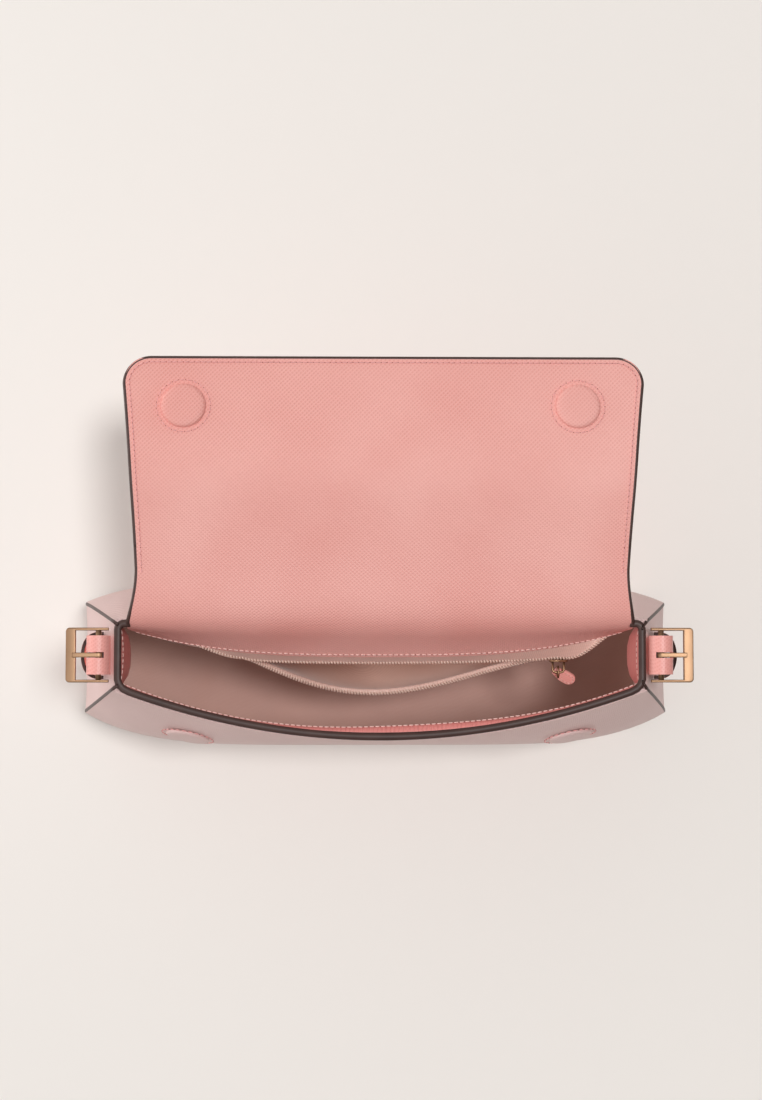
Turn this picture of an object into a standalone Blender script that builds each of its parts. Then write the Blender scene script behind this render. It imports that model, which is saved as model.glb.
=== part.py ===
"""Small structured flap purse: leather shell, magnetic fold-back flap, strap buckles, zip pocket.

X runs along the purse, +Y to the back where the flap hinges, +Z up.
The origin is the middle of the base, on the surface that the purse stands on.
All sizes are in metres and all angles in degrees.
"""
import math

import bmesh
import bpy
from mathutils import Matrix, Vector

# Body
HEIGHT = 0.132
RIM_HALF_WIDTH = 0.1095
BASE_HALF_WIDTH = 0.1338
RIM_HALF_DEPTH = 0.0145
BASE_HALF_DEPTH = 0.0255
FLARE_DEPTH = 0.107
WIDTH_CURVE = 0.3
DEPTH_CURVE = 0.55
FRONT_BOW_RIM = 0.0205
FRONT_BOW_BASE = 0.0135
BACK_BOW_BASE = 0.0075
BOW_POWER_RIM = 2.0
BOW_POWER_BODY = 6.0
BOW_SQUARE_DEPTH = 0.048
CORNER_RADIUS = 0.022

# Sheet materials and fits
LEATHER = 0.0015
FACING = 0.0012
LINING = 0.0007
POCKET_CLOTH = 0.0005
BOARD = 0.0015
GAP = 0.0003
EDGE_GAP = 0.0005
FACING_HEIGHT = 0.0235

# Flap
FLAP_OUTER = 0.0014
FLAP_LINING = 0.0010
FLAP_HINGE_HALF_WIDTH = 0.102
FLAP_END_HALF_WIDTH = 0.1065
FLAP_TOP_LENGTH = 0.058
FLAP_DROP_LENGTH = 0.051
FLAP_CORNER_RADIUS = 0.011
FLAP_REST_RISE = 9.0
FLAP_REST_FOLD = -17.0

# Covered magnets
MAGNET_SPACING = 0.162
MAGNET_FROM_FLAP_END = 0.0207
COVER_RADIUS = 0.00925
COVER_HEIGHT = 0.0020
COVER_SKIN = 0.0009
COVER_WALL = 0.0012
COVER_EDGE = 0.0006
COVER_LIFT = 0.0005
MAGNET_THICKNESS = 0.0008

# Strap buckles, tabs and keepers
BAR_RADIUS = 0.0012
LOOP_RADIUS = 0.00495
TAB_LEATHER = 0.0016
TAB_WIDTH = 0.016
TAB_LENGTH = 0.044
TAB_LOOP_DEPTH = 0.0050
TAB_NECK_DEPTH = 0.0140
BUCKLE_WIDTH = 0.0226
BUCKLE_REACH = 0.0134
BUCKLE_HEIGHT = 0.0022
BUCKLE_ARM = 0.0012
BUCKLE_END_BAR = 0.0041
BUCKLE_CORNER = 0.0016
PRONG_WIDTH = 0.0020
PRONG_THICKNESS = 0.0014
SLOT_CLEARANCE = 0.0005
KEEPER_DEPTH = 0.0230
KEEPER_HEIGHT = 0.0090
KEEPER_HALF_SPAN = 0.0100
KEEPER_STANDOFF = 0.0098
KEEPER_LEATHER = 0.0016

# Zip pocket
BACK_LEAN = 0.0115
ZIP_START = -0.061
ZIP_END = 0.084
ZIP_DEPTH = 0.0300
COIL_RADIUS = 0.0008
COIL_PITCH = 0.0028
TAPE_WIDTH = 0.0065
TAPE = 0.0006
LIP_SAG_FORWARD = 0.0155
LIP_SAG_DOWN = 0.0220
POCKET_DEPTH = 0.105
POCKET_FOLD = 0.0030
SLIDER_X = 0.0765
SLIDER_LENGTH = 0.0080
SLIDER_PLATE = 0.0010
SLIDER_HEIGHT = 0.0062
SLIDER_POST = 0.0006
BAIL_WIRE = 0.0005
BAIL_HALF_SPAN = 0.0024
BAIL_HEIGHT = 0.0034
LINK_RADIUS = 0.0024
LINK_WIRE = 0.0004
LINK_PLAY = 0.0004
PULL_WIDTH = 0.0058
PULL_LENGTH = 0.0105
PULL_LEATHER = 0.0016
PULL_HOLE = 0.0009
PULL_EYE_WALL = 0.0008

# Facets
HALF_COLUMNS = 10
CORNER_STEPS = 5
WALL_STEPS = 6
FACING_STEPS = 3
ARC_STEPS = 10
TURN_STEPS = 28
ZIP_STEPS = 20

# Colours, as linear red, green, blue
PINK = (0.80, 0.33, 0.29)
PALE_PINK = (0.83, 0.50, 0.47)
ROSE_CLOTH = (0.52, 0.34, 0.29)
GOLD = (0.83, 0.58, 0.27)
STEEL = (0.42, 0.42, 0.43)
BOARD_GREY = (0.25, 0.22, 0.20)
TAPE_ROSE = (0.62, 0.42, 0.37)

# Derived sizes
FLAP_HALF = (FLAP_OUTER + FLAP_LINING + GAP) / 2.0
FOLD_RADIUS = FLAP_HALF - GAP / 6.0
FLAP_START = FOLD_RADIUS + GAP
FLAP_HINGE = Vector((0.0, RIM_HALF_DEPTH, HEIGHT + FLAP_HALF + GAP + 0.1 * GAP))
FLAP_LENGTH = FLAP_TOP_LENGTH + FLAP_DROP_LENGTH
MAGNET_FROM_FOLD = FLAP_DROP_LENGTH - MAGNET_FROM_FLAP_END
FRONT_MAGNET_Z = FLAP_HINGE.z - MAGNET_FROM_FOLD
FACING_BOTTOM = HEIGHT - FACING_HEIGHT
INNER = LEATHER + GAP
WALL_CLEAR = INNER + EDGE_GAP
BOARD_BOTTOM = LEATHER + GAP
LINING_FLOOR = BOARD_BOTTOM + BOARD + GAP
LINING_FOOT = LINING_FLOOR + LINING + EDGE_GAP
TAPE_CLEAR = 2.0 * (COIL_RADIUS + GAP)
MOUTH_START = ZIP_START + SLIDER_LENGTH / 2.0
MOUTH_END = SLIDER_X - SLIDER_LENGTH / 2.0


def remove_everything():
    for scene_object in list(bpy.data.objects):
        bpy.data.objects.remove(scene_object, do_unlink=True)


def new_collection(name):
    collection = bpy.data.collections.new(name)
    bpy.context.scene.collection.children.link(collection)
    return collection


def finish(name, colour, roughness, metallic=0.0):
    material = bpy.data.materials.new(name)
    material.use_nodes = True
    shader = material.node_tree.nodes["Principled BSDF"]
    shader.inputs["Base Color"].default_value = (*colour, 1.0)
    shader.inputs["Roughness"].default_value = roughness
    shader.inputs["Metallic"].default_value = metallic
    return material


def leather(name, colour=PINK):
    return finish(name + "_leather", colour, 0.55)


def cloth(name, colour=ROSE_CLOTH):
    return finish(name + "_cloth", colour, 0.8)


def gold(name):
    return finish(name + "_gold", GOLD, 0.25, 1.0)


def add_object(name, data, material, parent=None):
    piece = bpy.data.objects.new(name, data)
    data.materials.append(material)
    PURSE.objects.link(piece)
    piece.parent = parent
    return piece


def add_empty(name, location, parent=None):
    empty = bpy.data.objects.new(name, None)
    empty.location = location
    empty.parent = parent
    PURSE.objects.link(empty)
    return empty


def shade_round(mesh):
    mesh.shade_smooth()
    mesh.set_sharp_from_angle(angle=math.radians(35.0))


def sheet(name, us, vs, place, thickness, material):
    """Open grid whose points are set by place(u, v), thickened away from its outer side."""
    grid = bmesh.new()
    bmesh.ops.create_grid(grid, x_segments=len(us) - 1, y_segments=len(vs) - 1, size=1.0)
    for vertex in grid.verts:
        column = round((vertex.co.x + 1.0) / 2.0 * (len(us) - 1))
        row = round((vertex.co.y + 1.0) / 2.0 * (len(vs) - 1))
        vertex.co = place(us[column], vs[row])
    mesh = bpy.data.meshes.new(name)
    grid.to_mesh(mesh)
    grid.free()
    shade_round(mesh)
    piece = add_object(name, mesh, material)
    shell = piece.modifiers.new("thickness", "SOLIDIFY")
    shell.thickness = thickness
    shell.offset = -1.0
    shell.use_even_offset = True
    return piece


def plate(name, outlines, thickness, material, parent=None):
    """Flat outline, with any further outlines as holes, extruded evenly about its own plane."""
    curve = bpy.data.curves.new(name, "CURVE")
    curve.dimensions = "2D"
    curve.fill_mode = "BOTH"
    curve.extrude = thickness / 2.0
    for outline in outlines:
        spline = curve.splines.new("POLY")
        spline.points.add(len(outline) - 1)
        for point, (x, y) in zip(spline.points, outline):
            point.co = (x, y, 0.0, 1.0)
        spline.use_cyclic_u = True
    return add_object(name, curve, material, parent)


def tube(name, points, radius, material, parent=None):
    """Round wire or cord through the given points."""
    curve = bpy.data.curves.new(name, "CURVE")
    curve.dimensions = "3D"
    curve.bevel_depth = radius
    curve.bevel_resolution = 2
    curve.use_fill_caps = True
    spline = curve.splines.new("POLY")
    spline.points.add(len(points) - 1)
    for point, place in zip(spline.points, points):
        point.co = (*place, 1.0)
    return add_object(name, curve, material, parent)


def turned(name, profile, material, parent=None):
    """Solid of revolution about Z from a profile that runs down its outer side."""
    mesh = bpy.data.meshes.new(name)
    points = [(radius, 0.0, height) for radius, height in profile]
    edges = [(k, k + 1) for k in range(len(points) - 1)]
    mesh.from_pydata(points, edges, [])
    piece = add_object(name, mesh, material, parent)
    screw = piece.modifiers.new("turn", "SCREW")
    screw.steps = TURN_STEPS
    screw.render_steps = TURN_STEPS
    screw.use_merge_vertices = True
    screw.merge_threshold = 0.00001
    return piece


def arc(centre, radius, start, end, steps=ARC_STEPS):
    """Points on an arc from start to end, in degrees."""
    points = []
    for k in range(steps + 1):
        angle = math.radians(start + (end - start) * k / steps)
        points.append((centre[0] + radius * math.cos(angle), centre[1] + radius * math.sin(angle)))
    return points


def eased(t, curve):
    return t * (1.0 + curve * (1.0 - t))


def flare(z):
    """How far down the flared part of the wall a height is, from 0 at the rim to 1."""
    return min((HEIGHT - z) / FLARE_DEPTH, 1.0)


def full_half_width(z):
    return RIM_HALF_WIDTH + (BASE_HALF_WIDTH - RIM_HALF_WIDTH) * eased(flare(z), WIDTH_CURVE)


def half_depth(z):
    return RIM_HALF_DEPTH + (BASE_HALF_DEPTH - RIM_HALF_DEPTH) * eased(flare(z), DEPTH_CURVE)


def front_wall(x, z):
    """Y of the outer face of the front panel."""
    bow = FRONT_BOW_RIM + (FRONT_BOW_BASE - FRONT_BOW_RIM) * flare(z)
    squareness = max(0.0, min(1.0, (HEIGHT - z) / BOW_SQUARE_DEPTH))
    power = BOW_POWER_RIM + (BOW_POWER_BODY - BOW_POWER_RIM) * squareness
    return -half_depth(z) - bow * (1.0 - min(1.0, abs(x) / full_half_width(z)) ** power)


def back_wall(x, z):
    """Y of the outer face of the back panel."""
    bow = BACK_BOW_BASE * (1.0 - (1.0 - max(0.0, flare(z))) ** 3)
    return half_depth(z) + bow * (1.0 - min(1.0, abs(x) / full_half_width(z)) ** BOW_POWER_BODY)


def inset(wall, x, z, depth):
    """Y of the surface a given depth inside a wall, measured along the wall's normal."""
    step = 0.00005
    slope_x = (wall(x + step, z) - wall(x - step, z)) / (2.0 * step)
    slope_z = (wall(x, z + step) - wall(x, z - step)) / (2.0 * step)
    inward = 1.0 if wall is front_wall else -1.0
    return wall(x, z) + inward * depth * math.sqrt(1.0 + slope_x ** 2 + slope_z ** 2)


def side_point(z, depth=0.0):
    """X and Z of the gusset line at the row that meets the panel edge at height z, set in by depth."""
    if z < CORNER_RADIUS:
        angle = math.acos((CORNER_RADIUS - z) / CORNER_RADIUS)
        radius = CORNER_RADIUS - depth
        centre_x = BASE_HALF_WIDTH - CORNER_RADIUS
        return centre_x + radius * math.sin(angle), CORNER_RADIUS - radius * math.cos(angle)
    step = 0.00005
    slope = (full_half_width(z + step) - full_half_width(z - step)) / (2.0 * step)
    length = math.sqrt(1.0 + slope ** 2)
    return full_half_width(z) - depth / length, z + depth * slope / length


def inner_half_width(z, depth):
    """Half width at height z of the space a given depth inside the gussets."""
    if z < CORNER_RADIUS:
        radius = CORNER_RADIUS - depth
        rise = min(CORNER_RADIUS - z, radius)
        return BASE_HALF_WIDTH - CORNER_RADIUS + math.sqrt(radius ** 2 - rise ** 2)
    return full_half_width(z) - depth * math.sqrt(1.0 + WIDTH_CURVE ** 2)


def corner_rows():
    return [CORNER_RADIUS * (1.0 - math.cos(math.pi / 2.0 * k / CORNER_STEPS)) for k in range(CORNER_STEPS)]


def even_rows(bottom, top, steps):
    return [bottom + (top - bottom) * k / steps for k in range(steps + 1)]


def wall_rows(bottom):
    """Heights shared by the walls and the layers inside them, up to the lower edge of the facings."""
    return even_rows(bottom, FACING_BOTTOM, WALL_STEPS)


def facing_rows():
    return even_rows(FACING_BOTTOM, HEIGHT, FACING_STEPS)


def panel_columns():
    """Shares of the half width, closer together near the seams."""
    return [math.sin(math.pi / 2.0 * k / HALF_COLUMNS) for k in range(-HALF_COLUMNS, HALF_COLUMNS + 1)]


def add_outer_panels():
    rows = corner_rows() + wall_rows(CORNER_RADIUS) + facing_rows()[1:]

    def front(share, z):
        x = share * side_point(z)[0]
        return Vector((x, front_wall(x, z), z))

    def back(share, z):
        x = -share * side_point(z)[0]
        return Vector((x, back_wall(x, z), z))

    sheet("front_panel", panel_columns(), rows, front, LEATHER, leather("front_panel", PALE_PINK))
    sheet("back_panel", panel_columns(), rows, back, LEATHER, leather("back_panel", PALE_PINK))
    for side, name in SIDES:
        gusset_sheet("gusset_" + name, side, rows, 0.0, LEATHER, leather("gusset_" + name, PALE_PINK))


def gusset_sheet(name, side, rows, depth, thickness, material):
    """End wall strip that fits between the front and back panels."""

    def place(across, z):
        x, height = side_point(z, depth)
        low = inset(front_wall, x, z, LEATHER) + EDGE_GAP
        high = inset(back_wall, x, z, LEATHER) - EDGE_GAP
        y = low + (high - low) * (0.5 + 0.5 * across * side)
        return Vector((side * x, y, height))

    return sheet(name, [-1.0, 0.0, 1.0], rows, place, thickness, material)


def floor_sheet(name, bottom, thickness, depth, material):
    """Flat piece across the base between the end corners."""
    reach = BASE_HALF_WIDTH - CORNER_RADIUS - EDGE_GAP
    columns = [share * reach for share in panel_columns()]

    def place(across, x):
        low = inset(front_wall, x, 0.0, depth) + EDGE_GAP
        high = inset(back_wall, x, 0.0, depth) - EDGE_GAP
        return Vector((x, low + (high - low) * (0.5 + 0.5 * across), bottom))

    return sheet(name, [-1.0, 1.0], columns, place, thickness, material)


def add_base():
    floor_sheet("base_panel", 0.0, LEATHER, LEATHER, leather("base_panel", PALE_PINK))
    floor_sheet("base_board", BOARD_BOTTOM, BOARD, INNER, finish("base_board_fibre", BOARD_GREY, 0.9))
    floor_sheet("lining_base", LINING_FLOOR, LINING, INNER, cloth("lining_base"))


def add_front_inside():
    """Leather facing at the rim and cloth lining below it, on the front wall."""
    facing_reach = WALL_CLEAR + FACING
    lining_reach = WALL_CLEAR + LINING

    def wall_place(depth):
        def place(share, z):
            x = share * inner_half_width(z, depth)
            return Vector((x, inset(front_wall, x, z, INNER), z))
        return place

    lining_rows = corner_rows()[2:] + wall_rows(CORNER_RADIUS)[:-1] + [FACING_BOTTOM - EDGE_GAP]
    lining_rows = [LINING_FOOT] + [z for z in lining_rows if z > LINING_FOOT]
    sheet("front_facing", panel_columns(), facing_rows(), wall_place(facing_reach), FACING, leather("front_facing"))
    sheet("lining_front", panel_columns(), lining_rows, wall_place(lining_reach), LINING, cloth("lining_front"))


def add_end_insides():
    """Facing and lining of each gusset."""
    lining_rows = corner_rows() + wall_rows(CORNER_RADIUS)[:-1] + [FACING_BOTTOM - EDGE_GAP]
    for side, name in SIDES:
        facing = "gusset_facing_" + name
        gusset_sheet(facing, side, facing_rows(), INNER, FACING, leather(facing))
        gusset_sheet("lining_" + name, side, lining_rows, INNER, LINING, cloth("lining_" + name))


def rim_back_inside(x):
    """Y of the front face of the back facing where it hangs from the rim."""
    return inset(back_wall, x, HEIGHT, INNER + FACING + EDGE_GAP)


def facing_reach():
    return inner_half_width(HEIGHT, WALL_CLEAR + FACING)


def facing_lower_edge(x):
    """Y of the lower edge of the back facing, which leans forward with the pocket behind it."""
    return rim_back_inside(x) - BACK_LEAN * (1.0 - (x / facing_reach()) ** 2)


def zip_line():
    """Y of the straight edge that the zip hangs from."""
    return facing_lower_edge(0.0) - GAP


def back_coil_z():
    return HEIGHT - ZIP_DEPTH


def front_coil_z():
    return back_coil_z() - COIL_PITCH


def lip_sag(x):
    """How far open the pocket mouth is at x, from 0 where the two tapes meet to 1."""
    along = (x - MOUTH_START) / (MOUTH_END - MOUTH_START)
    if along <= 0.0 or along >= 1.0:
        return 0.0
    return 4.0 * along * (1.0 - along)


def lip_point(x, below=0.0):
    """Point on the sagging front edge of the pocket mouth, or a distance below it."""
    sag = lip_sag(x)
    z = front_coil_z() - LIP_SAG_DOWN * sag - below
    return Vector((x, zip_line() - LIP_SAG_FORWARD * sag ** 2, z))


def zip_columns():
    """Columns along the zip, closer together where the mouth starts to open."""
    shares = [0.5 - 0.5 * math.cos(math.pi * k / ZIP_STEPS) for k in range(ZIP_STEPS + 1)]
    mouth = [MOUTH_START + (MOUTH_END - MOUTH_START) * share for share in shares]
    return [ZIP_START] + mouth + [ZIP_END]


def add_back_facing():

    def place(share, z):
        fall = (HEIGHT - z) / FACING_HEIGHT
        x = share * facing_reach()
        y = rim_back_inside(x) + (facing_lower_edge(x) - rim_back_inside(x)) * fall
        return Vector((x, y, z))

    sheet("back_facing", panel_columns(), facing_rows(), place, FACING, leather("back_facing"))


def add_zip():
    """Coil halves and tapes; the mouth stands open and its front edge sags."""
    columns = zip_columns()
    back_top = FACING_BOTTOM - EDGE_GAP
    back_bottom = back_coil_z() + COIL_RADIUS + TAPE + GAP

    def back_tape(x, share):
        y = zip_line() + (facing_lower_edge(x) - zip_line()) * share
        return Vector((x, y, back_bottom + (back_top - back_bottom) * share))

    def front_tape(x, below):
        return lip_point(x, TAPE_CLEAR + below)

    sheet("zip_tape_back", columns, [0.0, 0.5, 1.0], back_tape, TAPE, cloth("zip_tape_back", TAPE_ROSE))
    sheet("zip_tape_front", columns, [TAPE_WIDTH, 0.0], front_tape, TAPE, cloth("zip_tape_front", TAPE_ROSE))
    middle = TAPE / 2.0
    back_line = [(x, zip_line() + middle, back_coil_z()) for x in columns]
    front_line = [lip_point(x) + Vector((0.0, middle, 0.0)) for x in columns]
    tube("zip_coil_back", back_line, COIL_RADIUS, finish("zip_coil_back_nylon", TAPE_ROSE, 0.5))
    tube("zip_coil_front", front_line, COIL_RADIUS, finish("zip_coil_front_nylon", TAPE_ROSE, 0.5))


def lining_columns():
    """Columns across the back lining, with a step at each end of the zip."""
    reach = inner_half_width(FACING_BOTTOM, WALL_CLEAR + FACING)
    left = even_rows(-reach, ZIP_START - 10.0 * EDGE_GAP, 3)
    middle = [ZIP_START - EDGE_GAP] + zip_columns()[1:-1] + [ZIP_END + EDGE_GAP]
    right = even_rows(ZIP_END + 10.0 * EDGE_GAP, reach, 2)
    return left + middle + right


def lining_top(x):
    """Upper edge of the back lining: under the front tape, and under the facing beyond the zip."""
    if ZIP_START - 2.0 * EDGE_GAP < x < ZIP_END + 2.0 * EDGE_GAP:
        return lip_point(x, TAPE_CLEAR + TAPE_WIDTH + EDGE_GAP)
    return Vector((x, facing_lower_edge(x), FACING_BOTTOM - EDGE_GAP))


def lining_back_point(x, share, behind=0.0):
    """Point on the back lining, share 1 at its upper edge, set back by a distance."""
    top = lining_top(x)
    z = LINING_FOOT + (top.z - LINING_FOOT) * share
    spread = inner_half_width(z, WALL_CLEAR + LINING) / inner_half_width(FACING_BOTTOM, WALL_CLEAR + FACING)
    wide_x = x * (1.0 + (min(spread, 1.0) - 1.0) * (1.0 - share))
    foot_y = inset(back_wall, wide_x, LINING_FOOT, INNER + POCKET_FOLD + LINING)
    y = foot_y + (top.y - foot_y) * (1.0 - (1.0 - share) ** 2)
    return Vector((wide_x, y + behind, z))


def add_back_lining():
    rows = even_rows(0.0, 1.0, WALL_STEPS)
    sheet("lining_back", lining_columns(), rows, lining_back_point, LINING, cloth("lining_back"))


def add_pocket_bag():
    """Folded cloth bag that hangs behind the lining from both zip tapes."""
    columns = [x for x in zip_columns() if ZIP_START + 2.0 * EDGE_GAP < x < ZIP_END - 2.0 * EDGE_GAP]
    foot = HEIGHT - POCKET_DEPTH
    rise = 5

    def place(x, step):
        front_top = lining_top(x).z
        if step <= rise:
            share = step / rise
            back_top = Vector((x, facing_lower_edge(x) + FACING + TAPE + 2.0 * EDGE_GAP, FACING_BOTTOM + GAP))
            front = front_layer(x, foot, front_top)
            z = back_top.z + (foot - back_top.z) * share
            y = back_top.y + (front + POCKET_FOLD - back_top.y) * share
            return Vector((x, y, z))
        share = (step - rise - 1.0) / rise
        z = foot + (front_top - foot) * share
        return Vector((x, front_layer(x, z, front_top), z))

    def front_layer(x, z, top_z):
        share = (z - LINING_FOOT) / (top_z - LINING_FOOT)
        return lining_back_point(x, share, LINING + 2.0 * EDGE_GAP).y

    steps = [float(k) for k in range(2 * rise + 2)]
    sheet("pocket_bag", columns, steps, place, POCKET_CLOTH, cloth("pocket_bag"))


def add_slider():
    """Zip slider with front and back plates round the coils, its bail, link and leather pull."""
    centre_y = zip_line() + TAPE / 2.0
    centre_z = (back_coil_z() + front_coil_z()) / 2.0
    slider = add_empty("zip_slider_frame", (SLIDER_X, centre_y, centre_z))
    channel = COIL_RADIUS + GAP
    outer = channel + SLIDER_PLATE
    front_half = SLIDER_HEIGHT / 2.0
    back_half = COIL_PITCH / 2.0
    post = SLIDER_POST / 2.0
    outline = [
        (-outer, -front_half), (-channel, -front_half), (-channel, -post), (channel, -post),
        (channel, -back_half), (outer, -back_half), (outer, back_half), (channel, back_half),
        (channel, post), (-channel, post), (-channel, front_half), (-outer, front_half),
    ]
    body = plate("zip_slider", [outline], SLIDER_LENGTH, gold("zip_slider"), slider)
    body.rotation_euler = (math.radians(90.0), 0.0, math.radians(90.0))

    bail_foot = -outer - GAP - BAIL_WIRE
    bail_top = bail_foot - BAIL_HEIGHT
    bend = BAIL_HALF_SPAN / 2.0
    arch = [(-BAIL_HALF_SPAN, bail_foot + BAIL_WIRE)]
    arch += arc((-BAIL_HALF_SPAN + bend, bail_top + bend), bend, 180.0, 270.0, 4)
    arch += arc((BAIL_HALF_SPAN - bend, bail_top + bend), bend, 270.0, 360.0, 4)
    arch += [(BAIL_HALF_SPAN, bail_foot + BAIL_WIRE)]
    tube("zip_slider_bail", [(x, y, 0.0) for x, y in arch], BAIL_WIRE, gold("zip_slider_bail"), slider)

    pull = add_empty("zip_pull_frame", (0.0, bail_top, 0.0), slider)
    link_drop = LINK_RADIUS - LINK_WIRE - BAIL_WIRE - LINK_PLAY
    ring = bmesh.new()
    bpy.ops.mesh.primitive_torus_add(
        major_radius=LINK_RADIUS, minor_radius=LINK_WIRE, major_segments=20, minor_segments=8)
    ring.from_mesh(bpy.context.object.data)
    bpy.data.objects.remove(bpy.context.object, do_unlink=True)
    bmesh.ops.rotate(ring, verts=ring.verts, matrix=Matrix.Rotation(math.radians(90.0), 3, "Y"))
    mesh = bpy.data.meshes.new("zip_pull_link")
    ring.to_mesh(mesh)
    ring.free()
    shade_round(mesh)
    link = add_object("zip_pull_link", mesh, gold("zip_pull_link"), pull)
    link.location = (0.0, 0.0, -link_drop)

    eye = -link_drop - LINK_RADIUS
    half = PULL_WIDTH / 2.0
    top = eye + PULL_HOLE + PULL_EYE_WALL
    tip = top - PULL_LENGTH
    tab = arc((0.0, tip + half), half, 180.0, 360.0)
    tab += [(half, eye - half), (half / 2.0, top), (-half / 2.0, top), (-half, eye - half)]
    hole = arc((0.0, eye), PULL_HOLE, 0.0, 324.0, 9)
    leather_tab = plate("zip_pull_tab", [tab, hole], PULL_LEATHER, leather("zip_pull_tab"), pull)
    leather_tab.rotation_euler = (math.radians(90.0), 0.0, 0.0)


def magnet_pair(name, parent, matrix):
    """Leather-covered magnet: a cup of leather over a steel-grey disc."""
    cavity = COVER_HEIGHT - COVER_SKIN
    inner = COVER_RADIUS - COVER_WALL
    cup = [
        (0.0, COVER_HEIGHT), (COVER_RADIUS - COVER_EDGE, COVER_HEIGHT),
        (COVER_RADIUS, COVER_HEIGHT - COVER_EDGE), (COVER_RADIUS, 0.0),
        (inner, 0.0), (inner, cavity), (0.0, cavity),
    ]
    disc_radius = inner - GAP
    disc_base = cavity - GAP - MAGNET_THICKNESS
    disc = [
        (0.0, disc_base + MAGNET_THICKNESS), (disc_radius, disc_base + MAGNET_THICKNESS),
        (disc_radius, disc_base), (0.0, disc_base),
    ]
    cover = turned(name + "_cover", cup, leather(name + "_cover"), parent)
    magnet = turned(name, disc, finish(name + "_steel", STEEL, 0.4, 1.0), parent)
    cover.matrix_local = matrix
    magnet.matrix_local = matrix


def add_front_magnets():
    step = 0.0005
    for side, name in SIDES:
        x = side * MAGNET_SPACING / 2.0
        z = FRONT_MAGNET_Z
        slope_x = (front_wall(x + step, z) - front_wall(x - step, z)) / (2.0 * step)
        slope_z = (front_wall(x, z + step) - front_wall(x, z - step)) / (2.0 * step)
        normal = Vector((slope_x, -1.0, slope_z)).normalized()
        spot = Vector((x, front_wall(x, z), z)) + normal * COVER_LIFT
        turn = normal.to_track_quat("Z", "X").to_matrix().to_4x4()
        magnet_pair("front_magnet_" + name, None, Matrix.Translation(spot) @ turn)


def flap_half_width(along):
    share = along / FLAP_LENGTH
    return FLAP_HINGE_HALF_WIDTH + (FLAP_END_HALF_WIDTH - FLAP_HINGE_HALF_WIDTH) * share


def flap_plates(name, start, end, base, rounded, parent):
    """Outer and lining leather of one flap panel between two distances from the hinge."""
    near = flap_half_width(start)
    far = flap_half_width(end)
    y0 = start - base
    y1 = end - base
    outline = [(-near, y0), (near, y0)]
    if rounded:
        bend = FLAP_CORNER_RADIUS
        outline += arc((far - bend, y1 - bend), bend, 0.0, 90.0, 6)
        outline += arc((bend - far, y1 - bend), bend, 90.0, 180.0, 6)
    else:
        outline += [(far, y1), (-far, y1)]
    outer = plate(name + "_outer", [outline], FLAP_OUTER, leather(name + "_outer", PALE_PINK), parent)
    lining = plate(name + "_lining", [outline], FLAP_LINING, leather(name + "_lining"), parent)
    outer.location = (0.0, 0.0, FLAP_OUTER / 2.0 - FLAP_HALF)
    lining.location = (0.0, 0.0, FLAP_HALF - FLAP_LINING / 2.0)


def add_flap():
    """Flap of two panels: a top that hinges at the back rim and a drop that folds over the front."""
    reach = flap_half_width(0.0)
    fold_line = [(-reach, 0.0, 0.0), (0.0, 0.0, 0.0), (reach, 0.0, 0.0)]
    hinge_line = [FLAP_HINGE + Vector(point) for point in fold_line]
    tube("flap_hinge_fold", hinge_line, FOLD_RADIUS, leather("flap_hinge_fold"))

    hinge = add_empty("flap_hinge_axis", FLAP_HINGE)
    hinge.rotation_euler = (math.radians(FLAP_REST_RISE), 0.0, 0.0)
    flap_plates("flap_top", FLAP_START, FLAP_TOP_LENGTH - FLAP_START, 0.0, False, hinge)

    fold = add_empty("flap_fold_axis", (0.0, FLAP_TOP_LENGTH, 0.0), hinge)
    fold.rotation_euler = (math.radians(FLAP_REST_FOLD), 0.0, 0.0)
    wide = flap_half_width(FLAP_TOP_LENGTH) / reach
    front_line = [(x * wide, FLAP_TOP_LENGTH, 0.0) for x, _, _ in fold_line]
    tube("flap_front_fold", front_line, FOLD_RADIUS, leather("flap_front_fold"), hinge)
    flap_plates("flap_drop", FLAP_TOP_LENGTH + FLAP_START, FLAP_LENGTH, FLAP_TOP_LENGTH, True, fold)
    for side, name in SIDES:
        spot = Vector((side * MAGNET_SPACING / 2.0, MAGNET_FROM_FOLD, FLAP_HALF + GAP))
        magnet_pair("flap_magnet_" + name, fold, Matrix.Translation(spot))


def gusset_slope():
    """Angle of the upper gusset from vertical."""
    low_x, low_z = side_point(HEIGHT - TAB_LENGTH)
    return math.atan2(low_x - RIM_HALF_WIDTH, HEIGHT - low_z)


def hang_frame(name, side):
    """Empty at the end of the rim, local X outward from the gusset, local Z up along it."""
    frame = add_empty(name, (side * RIM_HALF_WIDTH, 0.0, HEIGHT))
    turn = Matrix.Rotation(-gusset_slope(), 4, "Y")
    if side < 0.0:
        turn = Matrix.Rotation(math.pi, 4, "Z") @ turn
    frame.matrix_basis = Matrix.Translation(frame.location) @ turn
    return frame


def to_mesh_object(piece):
    """Replace a curve piece with a welded mesh of the same shape, so that it can be cut."""
    bpy.context.view_layer.update()
    evaluated = piece.evaluated_get(bpy.context.evaluated_depsgraph_get())
    mesh = bpy.data.meshes.new_from_object(evaluated)
    welded = bmesh.new()
    welded.from_mesh(mesh)
    bmesh.ops.remove_doubles(welded, verts=welded.verts, dist=0.000001)
    welded.to_mesh(mesh)
    welded.free()
    name = piece.name
    place = piece.matrix_world.copy()
    bpy.data.objects.remove(piece, do_unlink=True)
    solid = bpy.data.objects.new(name, mesh)
    PURSE.objects.link(solid)
    solid.matrix_world = place
    return solid


def tab_centre_out():
    """Distance of the buckle bar outward from the gusset."""
    return LOOP_RADIUS + gusset_bulge() + GAP


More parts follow.
